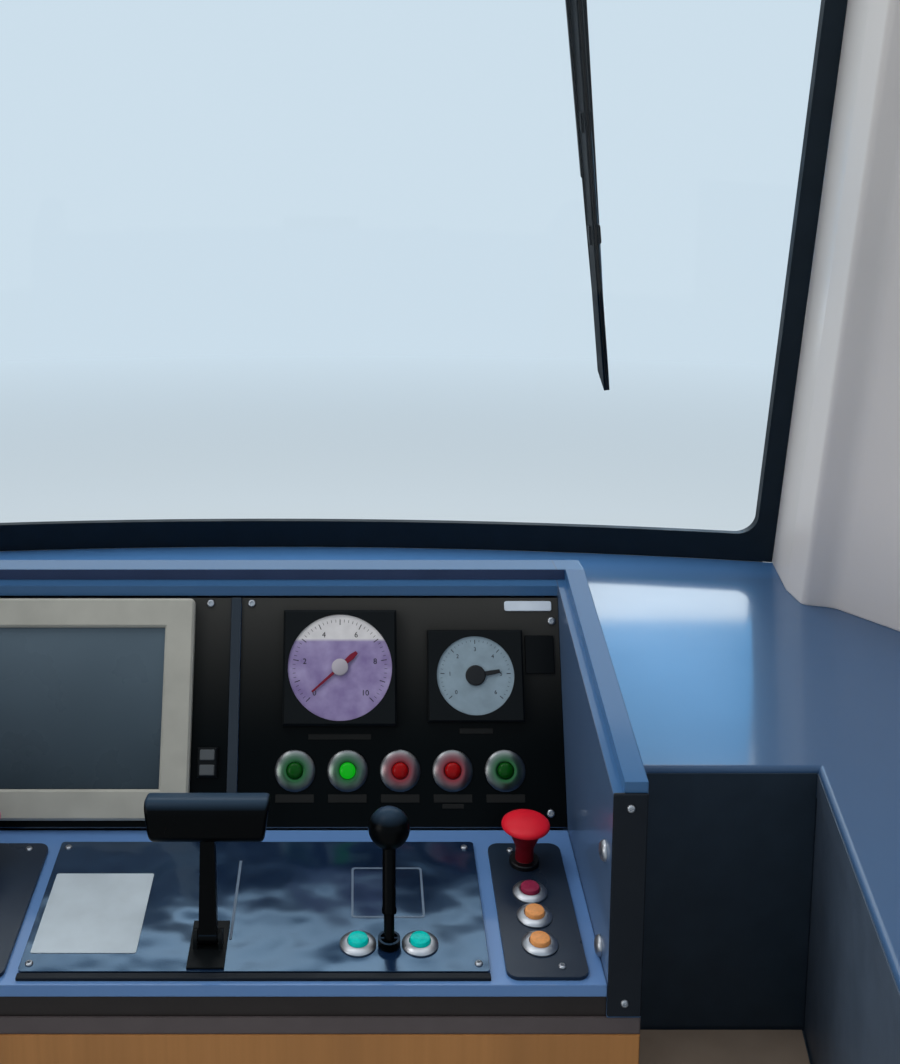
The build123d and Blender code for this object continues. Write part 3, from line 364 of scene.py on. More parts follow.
def bare_material(name):
    """A material with nothing but its output, and that output."""
    material = bpy.data.materials.new(name)
    material.use_nodes = True
    material.node_tree.nodes.clear()
    return material, material.node_tree.nodes.new("ShaderNodeOutputMaterial")


def emission(tree, colour, strength=1.0):
    glow = tree.nodes.new("ShaderNodeEmission")
    glow.inputs["Color"].default_value = (*colour, 1.0)
    glow.inputs["Strength"].default_value = strength
    return glow


def blend_shaders(tree, output, share, first, second):
    """Feed the output with two shaders, of which the second has the share."""
    mix = tree.nodes.new("ShaderNodeMixShader")
    for socket, source in zip(mix.inputs, (share, first.outputs[0], second.outputs[0])):
        tree.links.new(source, socket)
    tree.links.new(mix.outputs[0], output.inputs[0])


def clear_glass(name, tint, least=0.03):
    """Thin clear sheet: rays pass straight through, with a mirror share that grows at a slant."""
    material, output = bare_material(name)
    tree = material.node_tree
    through = tree.nodes.new("ShaderNodeBsdfTransparent")
    through.inputs["Color"].default_value = (*tint, 1.0)
    shine = tree.nodes.new("ShaderNodeBsdfGlossy")
    shine.inputs["Roughness"].default_value = 0.02
    slant = tree.nodes.new("ShaderNodeLayerWeight")
    slant.inputs["Blend"].default_value = 0.5
    fifth = tree.nodes.new("ShaderNodeMath")
    fifth.operation = "POWER"
    tree.links.new(slant.outputs["Facing"], fifth.inputs[0])
    fifth.inputs[1].default_value = 5.0
    share = tree.nodes.new("ShaderNodeMath")
    share.operation = "MULTIPLY_ADD"
    tree.links.new(fifth.outputs[0], share.inputs[0])
    share.inputs[1].default_value = 0.6
    share.inputs[2].default_value = least
    blend_shaders(tree, output, share.outputs[0], through, shine)
    return material


def wavy_plate(name, colour):
    """Dark glossy cover sheet that is not quite flat, so what it mirrors is bent."""
    shade = Shade(name, colour, 0.08, ior=1.9)
    shade.shader.inputs["Specular Tint"].default_value = (0.37, 0.67, 1.0, 1.0)
    shade.tinted(0.25, 12.0)
    shade.worn_gloss(0.11, 0.22, 9.0)
    shade.soft_edges(0.0006)
    shade.bump(shade.noise(9.0, 2.0), 0.0095)
    shade.bump(shade.noise(36.0, 1.0), 0.0008)
    return shade.material


def laminate(name, colour, metal=None, face=0.0):
    """Laminate with a faint upright grain; where metal is given, what stands out of the face is metal."""
    shade = Shade(name, colour, 0.42, 0.3)
    grain = shade.noise(1.0, 5.0, (260, 260, 9))
    bands = shade.noise(1.0, 2.0, (18, 18, 0.8))
    dark = tuple(c * 0.80 for c in colour)
    light = tuple(min(1.0, c * 1.15) for c in colour)
    shade.set("Base Color", shade.mix(shade.range(bands, 0.0, 1.0), dark, light))
    shade.toward(shade.range(grain, 0.0, 0.35), dark)
    if metal:
        leaf = shade.range(shade.axis("Y"), 1.0, 0.0, *(face - rise for rise in LEAF_RISE))
        shade.toward(leaf, metal)
        shade.set("Metallic", leaf)
    shade.set("Roughness", shade.range(grain, 0.36, 0.50))
    shade.soft_edges(0.0012)
    shade.bump(grain, 0.00004)
    return shade.material


def lilac_dial(name):
    """Gauge face: lilac, with a paler field above a level line, both a little mottled."""
    shade = Shade(name, (0.25, 0.20, 0.40), 0.45, 0.25)
    line = (at(PANEL, *GAUGE_SPOT, GAUGE_DIAL_FACE) @ Vector((0, GAUGE_LEVEL, 0))).z
    field = shade.range(shade.axis("Z"), 0.0, 1.0, line - LEVEL_BLUR, line + LEVEL_BLUR)
    lilac = shade.mix(shade.range(shade.noise(60.0), 0.0, 1.0), (0.25, 0.193, 0.42), (0.42, 0.362, 0.62))
    pale = shade.mix(shade.range(shade.noise(90.0, 2.0), 0.0, 1.0), (0.78, 0.78, 0.81), (0.88, 0.88, 0.91))
    shade.set("Base Color", shade.mix(field, lilac, pale))
    return shade.material


def pale_dial(name):
    """Meter face: an even grey blue, a little mottled."""
    shade = Shade(name, (0.285, 0.388, 0.465), 0.45, 0.25)
    shade.tinted(0.10, 90.0)
    return shade.material


def dark_screen(name):
    """Switched-off display: a dark coat with a painted sheen that grows paler towards its upper edge, with
    faint wiping marks.
    """
    shade = Shade(name, (0.030, 0.055, 0.085), 0.30, 0.2)
    # Painted sheen: near black at the bottom to a pale blue grey at the top, made uneven by noise.
    level = shade.range(shade.axis("Z"), 0.0, 1.0, *SCREEN_SHEEN_LEVELS)
    drift = shade.math("ADD", level, shade.range(shade.noise(7.0, 2.0), -0.10, 0.10))
    shade.set("Base Color", shade.mix(drift, (0.010, 0.022, 0.033), (0.115, 0.168, 0.215)))
    shade.worn_gloss(0.24, 0.36, 24.0)
    return shade.material


def ribbed_rubber(name, colour):
    """Matt covering with a fine grain."""
    shade = Shade(name, colour, 0.62, 0.3)
    shade.tinted(0.16, 14.0)
    shade.bump(shade.noise(700.0, 2.0), 0.0001)
    return shade.material


def bezel_painted_lens_glow(name, tint):
    """Satin bezels of the lamp row with the lens's colour painted on them in their middle, as a painted glow
    of the lens.
    """
    shade = Shade(name, BEZEL_METAL, 0.30, metallic=1.0)
    first = lamp_place(0).translation
    pitch = LAMP_PITCH * MM
    # Whole pitches keep every remainder positive, and half a pitch puts the lamps in the middle
    across = shade.math("ADD", shade.along(first, tuple(PANEL.col[0][:3])), 100.5 * pitch)
    across = shade.math("SUBTRACT", shade.math("MODULO", across, pitch), 0.5 * pitch)
    upward = shade.along(first, tuple(PANEL.col[1][:3]))
    square = shade.math("ADD", shade.math("MULTIPLY", across, across), shade.math("MULTIPLY", upward, upward))
    near = shade.range(shade.math("SQRT", square), 1.0, 0.0, *BEZEL_GLOW_REACH)
    # Painted glow: near each lens the metal is blended towards the lens's colour.
    shade.set("Base Color", shade.mix(near, BEZEL_METAL, tint))
    shade.soft_edges(0.0004)
    return shade.material


# Finishes by material slot
GRP_WHITE = (0.76, 0.735, 0.715)
GRP_BLUE = (0.0497, 0.145, 0.316)
# The ledge's blue is a darker, shaded copy of the moulding's blue; the paler blue is painted daylight near
# the windscreen.
LEDGE_BLUE_SHADED = (0.0497, 0.113, 0.232)
LEDGE_PAINTED_DAYLIGHT = (0.096, 0.266, 0.588)
# A paler copy of the console's blue, as painted light from above on the desk and the fascia.
DESK_BLUE_PAINTED_LIGHT = (0.125, 0.263, 0.55)
LAMINATE_TAN = (0.486, 0.22, 0.0655)
STEEL = (0.50, 0.51, 0.53)
BEZEL_METAL = (0.145, 0.150, 0.155)
WHITE_GLOSS = {"roughness": 0.42, "edge": 0.003, "coat": 0.15, "specular": 0.35}
BLUE_GLOSS = {"roughness": 0.34, "edge": 0.0018, "coat": 0.35, "coat_roughness": 0.08, "specular": 0.08}
FINISHES = {
    "grp_white": moulding("gelcoat_white", GRP_WHITE, **WHITE_GLOSS),
    "grp_blue": moulding("gelcoat_blue", GRP_BLUE, **BLUE_GLOSS),
    # Near-black navy lining: partly its own colour, partly painted shade of the deep niches.
    "lining_dark": powder_coat("lining_navy_and_painted_shade", (0.03, 0.0492, 0.0744), 0.48, 500.0, 0.00006),
    "seal": powder_coat("rubber_black", (0.013, 0.022, 0.031), 0.55, 350.0, 0.00006, 0.002, specular=0.15),
    "glass": clear_glass("windscreen_clear", (0.985, 0.995, 0.99), 0.015),
    "panel_black": powder_coat("panel_black", (0.0042, 0.0056, 0.0066), 0.42, 1500.0, 0.00002, specular=0.10),
    "desk_plate": wavy_plate("cover_plate_dark", (0.0045, 0.015, 0.044)),
    "bezel": powder_coat("bezel_cream", (0.486, 0.492, 0.446), 0.45, 1200.0, 0.00002, 0.001, specular=0.3),
    "screen": dark_screen("screen_dark_painted_sheen"),
    "dial_lilac": lilac_dial("dial_lilac"),
    "dial_white": pale_dial("dial_pale"),
    "bright": brushed_metal("plated_satin", (0.50, 0.52, 0.55), 0.34),
    "lens_green": lens("lens_green", (0.0011, 0.0791, 0.0034), 0.30, LIT_LAMP),
    "lens_red": lens("lens_red", (0.362, 0.0023, 0.0034)),
    "lens_amber": lens("lens_amber", (0.723, 0.316, 0.113), 0.10),
    "lens_teal": lens("lens_teal", (0.0, 0.475, 0.429), 0.25),
    "stop_red": powder_coat("stop_red", (0.792, 0.012, 0.0312), 0.40, 900.0, 0.00002, 0.001),
    "mushroom_pink": powder_coat("mushroom_pink", (0.56, 0.20, 0.27), 0.40, 900.0, 0.00002, 0.001, 0.35),
    # The levers' black, with a painted bluish sky sheen on its upper faces.
    "lever_black": powder_coat("lever_black", (0.0008, 0.0011, 0.0014), 0.30, 800.0, 0.00002, 0.001, 0.05,
                               painted_top_sheen=(0.024, 0.050, 0.086)),
    "apron_brown": powder_coat("apron_brown", (0.0221, 0.0169, 0.0156), 0.50, 600.0, 0.00005, specular=0.25),
    "trim_grey": powder_coat("edge_trim_grey", (0.104, 0.0859, 0.0881), 0.48, 600.0, 0.00003, 0.002, 0.25),
    "laminate_tan": laminate("laminate_tan", LAMINATE_TAN),
    "floor": ribbed_rubber("floor_rubber", (0.070, 0.073, 0.080)),
    "steel": brushed_metal("steel_satin", STEEL, 0.34),
    "wiper_black": powder_coat("wiper_black", (0.003, 0.008, 0.014), 0.45, 700.0, 0.00004, 0.001, 0.06),
    "lamp": clear_glass("lamp_clear", (0.95, 0.97, 0.98)),
}

PLATE_NAVY = powder_coat("plate_navy", (0.010, 0.021, 0.042), 0.30, 900.0, 0.00002, specular=0.3)
# A dark slate standing in for the blue moulding in shade: painted shade on the side cabinets.
SLATE_PAINTED_SHADE = powder_coat("lining_slate_painted_shade", (0.0655, 0.0927, 0.133), 0.48, 500.0, 0.00004)
DOOR_LAMINATE = laminate("laminate_door", LAMINATE_TAN, STEEL, CHEEK_FRONT)
DESK_MOULDING_PAINTED_LIGHT = moulding("gelcoat_desk_painted_light", DESK_BLUE_PAINTED_LIGHT, **BLUE_GLOSS)
# Painted light: the pillars turn paler and warmer towards their foot, as if lit by light thrown up from the
# ledge.
PILLAR_PAINTED_BOUNCE = moulding("gelcoat_pillar_painted_bounce", GRP_WHITE, **WHITE_GLOSS,
                           fade=("Z", 1.20, 0.90, (0.95, 0.895, 0.85)))
PANEL_PAINTED_SHEEN = panel_painted_sheen("panel_painted_sheen", (0.0006, 0.0017, 0.0022), (0.056, 0.057, 0.055))

OWN_FINISHES = {
    "pillar_left": PILLAR_PAINTED_BOUNCE,
    "pillar_right": PILLAR_PAINTED_BOUNCE,
    "instrument_panel_left": PANEL_PAINTED_SHEEN,
    "instrument_panel_right": PANEL_PAINTED_SHEEN,
    # The console shell, with painted shade on its cheeks' inner faces.
    "console_shell": moulding("gelcoat_console_painted_cheek_shade", GRP_BLUE, **BLUE_GLOSS, cheeks=(0.071, 0.125, 0.228)),
    # Painted light on the ledge: shaded blue in the cab, turning to painted daylight towards the windscreen.
    "ledge": moulding("gelcoat_ledge_painted_light", LEDGE_BLUE_SHADED, **BLUE_GLOSS, fade=("Y", 0.40, 0.50, LEDGE_PAINTED_DAYLIGHT)),
    "desk_top": DESK_MOULDING_PAINTED_LIGHT,
    "console_fascia": DESK_MOULDING_PAINTED_LIGHT,
    # The side cabinets carry the slate of painted shade.
    "side_cabinet_left": SLATE_PAINTED_SHADE,
    "side_cabinet_right": SLATE_PAINTED_SHADE,
    "control_panel_left": PLATE_NAVY,
    "control_panel_right": PLATE_NAVY,
    "lever_collar": FINISHES["lever_black"],
    "door_left": DOOR_LAMINATE,
    "door_right": DOOR_LAMINATE,
}

for part in frame["record"]["subparts"]:
    node = NODES[part["node"]]
    node.data.materials.clear()
    node.data.materials.append(OWN_FINISHES.get(part["node"], FINISHES[part["material_slot"]]))

# Finishes of the small fittings
SCREW = brushed_metal("screw_steel", (0.38, 0.39, 0.41), 0.36)
DARK_PRINT = powder_coat("print_dark", (0.02, 0.02, 0.025), 0.5)
DIM_LABEL = powder_coat("label_dim", (0.015, 0.0155, 0.015), 0.5, specular=0.1)
WHITE_CARD = powder_coat("card_white", (0.531, 0.621, 0.689), 0.6, 300.0, 0.00005)
BLUE_WHITE = powder_coat("plate_blue_white", (0.701, 0.814, 0.949), 0.45)
BLUE_PRINT = powder_coat("print_blue", (0.16, 0.22, 0.30), 0.5)
POINTER_RED = powder_coat("pointer_red", (0.22, 0.012, 0.035), 0.45)
KEY_GREY = powder_coat("key_grey", (0.095, 0.108, 0.118), 0.5)
GLOSS_BLACK = powder_coat("cover_gloss_black", (0.001, 0.0015, 0.002), 0.30, 900.0, 0.00001, specular=0.10)
TRIM_NAVY = powder_coat("edge_trim_navy", (0.005, 0.008, 0.013), 0.5, 500.0, 0.00004, 0.001)
STRIP_SLATE = powder_coat("strip_slate", (0.0226, 0.0339, 0.0486), 0.5, 500.0, 0.00003, 0.001, 0.25)
MAT_BROWN = ribbed_rubber("mat_brown", (0.348, 0.273, 0.21))
# Painted shade: a dark strip for the rim's riser under the crest.
RIM_PAINTED_SHADE = powder_coat("rim_painted_shade", (0.0316, 0.0542, 0.124), 0.5, specular=0.15)
HUB_LILAC = powder_coat("hub_lilac", (0.52, 0.497, 0.565), 0.45)
COLLAR_BLACK = powder_coat("collar_black", (0.003, 0.003, 0.004), 0.4, specular=0.3)
# Deeper red for the cones under the mushroom caps: partly their own colour, partly painted shade under the
# caps.
STOP_DEEP_AND_SHADED = powder_coat("stop_red_deep_and_shaded", (0.192, 0.0048, 0.012), 0.45)
MIRROR = brushed_metal("lamp_mirror", (0.80, 0.82, 0.84), 0.10, (30, 30, 30))
BULB = powder_coat("lamp_bulb", (0.80, 0.80, 0.78), 0.25, specular=0.5)
RUBBER_LIP = powder_coat("wiper_rubber", (0.003, 0.003, 0.004), 0.6)
# The lamp bezels with painted green and red lens glow.
BEZEL_PAINTED_GREEN_GLOW = bezel_painted_lens_glow("bezel_painted_green_glow", (0.030, 0.120, 0.042))
BEZEL_PAINTED_RED_GLOW = bezel_painted_lens_glow("bezel_painted_red_glow", (0.24, 0.040, 0.048))
# The desk's red button is pinker than the lamps' red: the pink is a painted reflection.
DESK_RED_PAINTED_REFLECTION = lens("lens_red_desk_painted_reflection", (0.30, 0.028, 0.075))
BUTTON_BEZEL = brushed_metal("button_bezel", (0.40, 0.41, 0.43), 0.36)


def rounded(width, height, corner, steps=5):
    """Outline of a rounded rectangle, in millimetres."""
    corner = max(min(corner, width / 2 - 0.01, height / 2 - 0.01), 0.01)
    centres = (
        (width / 2 - corner, height / 2 - corner, 0),
        (-width / 2 + corner, height / 2 - corner, 90),
        (-width / 2 + corner, -height / 2 + corner, 180),
        (width / 2 - corner, -height / 2 + corner, 270),
    )
    points = []
    for x, y, start in centres:
        for k in range(steps + 1):
            angle = math.radians(start + 90 * k / steps)
            points.append((x + corner * math.cos(angle), y + corner * math.sin(angle)))
    return points


def ring(radius, sides):
    """Points on a circle."""
    turn = 2 * math.pi / sides
    return [(radius * math.cos(k * turn), radius * math.sin(k * turn)) for k in range(sides)]


def hexagon(across):
    """A hexagon with 24 points, so that it can be joined to a ring of as many."""
    sides = 24
    points = []
    for k in range(sides):
        angle = 2 * math.pi * k / sides
        fold = (angle % (math.pi / 3)) - math.pi / 6
        radius = across / 2 / math.cos(fold)
        points.append((radius * math.cos(angle), radius * math.sin(angle)))
    return points


class Piece:
    """A mesh made of stacked outlines, each stack in its own finish, that rides on one body."""

    def __init__(self, name, body="root", slot=None):
        self.name = name
        self.body = body
        self.slot = slot
        self.mesh = bmesh.new()
        self.finishes = []

    def finish_index(self, finish):
        if finish not in self.finishes:
            self.finishes.append(finish)
        return self.finishes.index(finish)

    def stack(self, place, outlines, finish, cap_start=True, cap_end=True):
        """Join outlines of equal point count, each given as (points in mm, height in mm)."""
        levels = [[(x, y, height) for x, y in points] for points, height in outlines]
        self.loft(place, levels, finish, cap_start, cap_end)

    def loft(self, place, levels, finish, cap_start=True, cap_end=True):
        """Join closed lines of equal point count, given in mm."""
        index = self.finish_index(finish)
        loops = [[self.mesh.verts.new(place @ (Vector(point) * MM)) for point in points] for points in levels]
        count = len(loops[0])
        faces = []
        for low, high in zip(loops, loops[1:]):
            for k in range(count):
                other = (k + 1) % count
                faces.append(self.mesh.faces.new((low[k], low[other], high[other], high[k])))
        if cap_start:
            faces.append(self.mesh.faces.new(list(reversed(loops[0]))))
        if cap_end:
            faces.append(self.mesh.faces.new(loops[-1]))
        for face in faces:
            face.material_index = index

    def plate(self, place, width, height, thickness, finish, corner=1.0, bevel=0.3):
        """A flat plate with a small bevel round its top."""
        full = rounded(width, height, corner)
        inner = rounded(width - 2 * bevel, height - 2 * bevel, max(corner - bevel, 0.02))
        self.stack(place, [(full, 0), (full, thickness - bevel), (inner, thickness)], finish)

    def turned(self, place, profile, finish, sides=32, cap_start=True, cap_end=True):
        """A turned form: profile is a list of (radius, height)."""
        self.stack(place, [(ring(r, sides), h) for r, h in profile], finish, cap_start, cap_end)

    def screw(self, place, radius):
        """Button-head socket screw."""
        rim = ring(radius, 24)
        socket = hexagon(radius * 0.85)
        self.stack(place, [(rim, 0), (rim, radius * 0.18), (ring(radius * 0.86, 24), radius * 0.42),
                           (ring(radius * 0.62, 24), radius * 0.55), (socket, radius * 0.55),
                           (socket, radius * 0.15)], SCREW)

    def numeral(self, place, words, size, finish):
        """A plain numeral standing on a face."""
        depth = 0.15 * MM
        curve = bpy.data.curves.new("numeral", "FONT")
        curve.body = words
        curve.size = size * MM
        curve.extrude = depth / 2
        curve.align_x = "CENTER"
        curve.align_y = "CENTER"
        curve.resolution_u = 3
        carrier = bpy.data.objects.new("numeral", curve)
        bpy.context.scene.collection.objects.link(carrier)
        bpy.context.view_layer.update()
        flat = bpy.data.meshes.new_from_object(carrier.evaluated_get(bpy.context.evaluated_depsgraph_get()))
        flat.transform(place @ Matrix.Translation((0, 0, depth / 2)))
        index = self.finish_index(finish)
        before = len(self.mesh.faces)
        self.mesh.from_mesh(flat)
        self.mesh.faces.ensure_lookup_table()
        for face in self.mesh.faces[before:]:
            face.material_index = index
        bpy.data.objects.remove(carrier)
        bpy.data.curves.remove(curve)
        bpy.data.meshes.remove(flat)

    def bar(self, place, size, finish, bevel=0.4):
        """A block with its place in the middle of its underside and a bevelled top, in millimetres."""
        self.plate(place, size[0], size[1], size[2], finish, bevel * 1.5, bevel)

    def done(self, replaces=()):
        """Turn what was gathered into an object that rides on its body."""
        bmesh.ops.recalc_face_normals(self.mesh, faces=self.mesh.faces)
        data = bpy.data.meshes.new(self.name)
        self.mesh.to_mesh(data)
        self.mesh.free()
        for finish in self.finishes:
            data.materials.append(finish)
        data.polygons.foreach_set("use_smooth", [True] * len(data.polygons))
        data.set_sharp_from_angle(angle=SHARP_ANGLE)
        made = bpy.data.objects.new(self.name, data)
        bpy.context.scene.collection.objects.link(made)
        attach(made, self.body)
        for node in replaces:
            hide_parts(node)


class Dial:
    """Marks, numerals, pointer and hub on the round face of a gauge."""

    def __init__(self, name, slot, spot, face, sweep):
        self.piece = Piece(name, slot=slot)
        self.spot = spot
        self.face = face
        self.sweep = sweep

    def place(self, angle=0.0, distance=0.0, above=0.0):
        """Frame at an angle from the dial's top, clockwise in degrees, with Y pointing outward."""
        turn = Matrix.Rotation(-math.radians(angle), 4, "Z")
        return at(PANEL, *self.spot, self.face + above) @ turn @ Matrix.Translation((0, distance * MM, 0))

    def angle(self, k, divisions):
        return -self.sweep / 2 + self.sweep * k / divisions

    def marks(self, divisions, every, long_mark, short_mark, reach):
        """Marks round the scale, given as (width, length), of which some are long."""
        for k in range(divisions + 1):
            width, length = long_mark if k % every == 0 else short_mark
            mark = self.place(self.angle(k, divisions), reach - length / 2)
            self.piece.plate(mark, width, length, 0.12, DARK_PRINT, 0.05, 0.02)

    def numbers(self, values, divisions, size, reach):
        """Upright plain numerals inside the marks."""
        for k in values:
            spot = self.place(self.angle(k, divisions), reach).translation
            upright = Matrix.Translation(spot) @ PANEL.to_3x3().to_4x4()
            self.piece.numeral(upright, str(k), size, DARK_PRINT)

    def pointer(self, angle, above, outline, finish):
        self.piece.stack(self.place(angle, 0.0, above), [(outline, 0), (outline, 0.5)], finish)

    def hub(self, profile, finish):
        self.piece.turned(self.place(), profile, finish)


def gauge_face():
    """Face of the round pressure gauge."""
    dial = Dial("pressure_gauge_scale", "dial_lilac", GAUGE_SPOT, GAUGE_DIAL_FACE, 270.0)
    dial.marks(50, 5, (0.7, 5.0), (0.35, 2.6), 42.5)
    dial.numbers(range(0, 11, 2), 10, 7.0, 32.0)
    outline = [(-1.4, -20.0), (1.4, -20.0), (2.6, -14.0), (1.4, 0.0), (0.8, 33.0), (-0.8, 33.0), (-1.4, 0.0),
               (-2.6, -14.0)]
    dial.pointer(229.0, 1.6, outline, POINTER_RED)
    dial.hub([(2.5, 0), (2.5, 1.5), (7.4, 1.6), (7.4, 2.4), (6.4, 3.0)], HUB_LILAC)
    dial.piece.done()


def meter_face():
    """Face of the square panel meter."""
    dial = Dial("panel_meter_scale", "dial_white", METER_SPOT, METER_DIAL_FACE, 260.0)
    dial.marks(36, 6, (0.6, 3.6), (0.3, 1.8), 31.5)
    dial.numbers(range(7), 6, 5.0, 23.0)
    outline = [(-2.0, -7.0), (2.0, -7.0), (2.0, 14.0), (1.6, 22.0), (-1.6, 22.0), (-2.0, 14.0)]
    dial.pointer(80.0, 1.2, outline, COLLAR_BLACK)
    dial.hub([(9.0, 0), (9.0, 1.6), (8.2, 2.3), (4.0, 2.6)], COLLAR_BLACK)
    dial.piece.done()


def panel_fittings():
    """Screws, blank plates and labels on the instrument panels."""
    piece = Piece("instrument_panel_fittings", slot="panel_black")
    screws = ((-10.6, 6.0), (26.9, 6.0), (300.0, 22.0), (292.7, 189.0), (26.9, 189.0), (-10.6, 189.0),
              (-298.0, 6.0), (-298.0, 189.0))
    for x, down in screws:
        piece.screw(at(PANEL, x, down, PANEL_FACE), 3.6)
    piece.plate(at(PANEL, 279.0, 8.5, PANEL_FACE), 43.0, 9.0, 1.2, BLUE_WHITE, 2.0)
    piece.plate(at(PANEL, 288.0, 52.0, PANEL_FACE), 26.0, 34.0, 1.6, GLOSS_BLACK, 1.0)
    labels = [(LAMP_FIRST + LAMP_PITCH * k, 176.5, 34.0, 7.0) for k in range(LAMP_COUNT)]
    labels += [(LAMP_FIRST + LAMP_PITCH * 3, 183.0, 19.0, 4.0), (METER_SPOT[0], 119.0, 30.0, 5.0),
               (GAUGE_SPOT[0], 124.0, 56.0, 5.0)]
    for x, down, width, height in labels:
        piece.plate(at(PANEL, x, down, PANEL_FACE), width, height, 0.6, DIM_LABEL, 0.6)
    rocker = at(PANEL, -9.0, 146.0, 5.3)
    for side in (-1, 1):
        piece.plate(rocker @ Matrix.Translation((0, side * 6.4 * MM, 0)), 13.0, 9.0, 1.4, KEY_GREY, 1.0, 0.5)
    piece.done()


def desk_fittings():
    """Screws, blank card, printed lines and front strip on the desk's plates."""
    piece = Piece("desk_fittings", slot="panel_black")
    screws = ((252.6, 34.0), (276.0, 173.0), (-155.0, 32.0), (-155.0, 174.0), (-288.0, 32.0), (-288.0, 174.0),
              (-122.0, 30.0), (214.0, 30.0), (-122.0, 170.0), (214.0, 170.0))
    for x, down in screws:
        piece.screw(at(DESK, x, down, PLATE_FACE), 3.0)
    piece.plate(at(DESK, -84.0, 112.0, PLATE_FACE), 80.0, 94.0, 0.5, WHITE_CARD, 1.5, 0.15)
    piece.bar(at(DESK, 46.5, 181.5, 0.1), (351.0, 6.0, 2.6), TRIM_NAVY, 0.5)
    outer = rounded(58.0, 62.0, 3.0)
    inner = rounded(54.5, 58.5, 2.0)
    square = at(DESK, 147.5, 88.0, PLATE_FACE)
    piece.stack(square, [(outer, 0), (outer, 0.25), (inner, 0.25), (inner, 0)], BLUE_PRINT, False, False)
    piece.plate(at(DESK, 26.0, 96.0, PLATE_FACE), 2.2, 96.0, 0.25, BLUE_PRINT, 0.5, 0.1)
    piece.done()


def indicator_lamps():
    """Domed bezels and lenses of the indicator row."""
    bezel = [(18.0, 0.3), (18.0, 1.5), (17.5, 2.1), (15.5, 3.2), (13.0, 4.3), (10.6, 5.1), (8.5, 5.2),
             (7.4, 4.6), (7.2, 3.0)]
    dome = [(7.0, 3.0), (7.0, 5.0), (6.5, 6.0), (5.3, 6.9), (3.5, 7.5), (1.8, 7.8), (0.4, 7.85)]
    rings = Piece("indicator_bezels", slot="bright")
    for k in range(LAMP_COUNT):
        rings.turned(lamp_place(k), bezel, BEZEL_PAINTED_RED_GLOW if k in RED_LAMPS else BEZEL_PAINTED_GREEN_GLOW, 48)
    rings.done(replaces=["indicator_rings"])
    for colour in ("green", "red"):
        lenses = Piece(f"indicator_domes_{colour}", slot=f"lens_{colour}")
        for k in range(LAMP_COUNT):
            if (k in RED_LAMPS) == (colour == "red"):
                lenses.turned(lamp_place(k), dome, FINISHES[f"lens_{colour}"], 40)
        lenses.done(replaces=[f"indicator_lenses_{colour}"])


def desk_buttons():
    """Caps and bezels of the red, amber and teal buttons."""
    bezel = [(14.0, 0.3), (14.0, 1.2), (13.5, 1.8), (11.5, 2.9), (9.6, 3.7), (8.5, 3.8), (7.9, 3.2),
             (7.8, 2.2)]
    cap = [(7.6, 2.2), (7.6, 5.8), (7.1, 6.6), (5.5, 7.1), (3.0, 7.3), (0.4, 7.35)]
    teal_left, teal_right = SELECTOR_X - TEAL_OFFSET, SELECTOR_X + TEAL_OFFSET
    buttons = (
        ("button_red", [(BUTTON_X, 88.6)], "lens_red", DESK_RED_PAINTED_REFLECTION),
        ("buttons_amber", [(BUTTON_X, 117.4), (BUTTON_X, 149.2)], "lens_amber", FINISHES["lens_amber"]),
        ("buttons_teal", [(teal_left, 149.2), (teal_right, 149.2)], "lens_teal", FINISHES["lens_teal"]),
    )
    bezels = Piece("button_bezels", slot="bright")
    for node, spots, slot, finish in buttons:
        caps = Piece(node + "_caps", slot=slot)
        for x, down in spots:
            bezels.turned(at(DESK, x, down, PLATE_FACE), bezel, BUTTON_BEZEL, 40)
            caps.turned(at(DESK, x, down, PLATE_FACE), cap, finish, 32)
        caps.done(replaces=[node])
    bezels.done(replaces=["button_rings"])


def mushrooms():
    """Smooth mushroom buttons on their collars."""
    cone = [(7.6, 0.3), (7.6, 16.0), (8.6, 18.5), (15.2, 34.0), (17.0, 35.2)]
    cap = [(15.0, 35.0), (19.0, 35.0), (19.8, 35.6), (20.0, 36.6), (19.7, 37.8), (18.4, 39.0), (15.5, 40.3),
           (11.0, 41.3), (6.0, 41.9), (0.5, 42.1)]
    collar = [(12.5, 0.0), (12.5, 3.4), (11.8, 4.2), (8.2, 4.2)]
    for node, x, down, slot in (("emergency_stop", BUTTON_X, 50.0, "stop_red"),
                                ("mushroom_button", -194.0, 42.0, "mushroom_pink")):
        piece = Piece(node + "_head", slot=slot)
        foot = at(DESK, x, down, PLATE_FACE)
        piece.turned(foot, collar, COLLAR_BLACK, 48)
        # The cone under the cap is a deeper red, partly painted shade.
        piece.turned(foot, cone, STOP_DEEP_AND_SHADED, 48)
        piece.turned(foot, cap, FINISHES[slot], 64)
        piece.done(replaces=[node])


def knob():
    """Smooth ball knob of the direction lever, and the lever's sleeve."""
    radius, centre, neck, steps = 16.0, 84.0, 14.4, 18
    start = math.acos(neck / radius)
    angles = [start + k * (math.pi - start) / steps for k in range(steps)]
    profile = [(radius * math.sin(a), centre - radius * math.cos(a)) for a in angles]
    profile.append((0.3, centre + radius))
    ball = Piece("lever_knob_ball", "direction_selector", "lever_black")
    ball.turned(KNOB, profile, FINISHES["lever_black"], 48)
    ball.done(replaces=["lever_knob"])
    sleeve = Piece("direction_lever_sleeve", "direction_selector", "lever_black")
    profile = [(5.7, 20.0), (5.7, 23.0), (5.1, 25.0), (5.1, 80.0), (4.3, 83.0)]
    sleeve.turned(KNOB, profile, FINISHES["lever_black"], 32)
    sleeve.done()


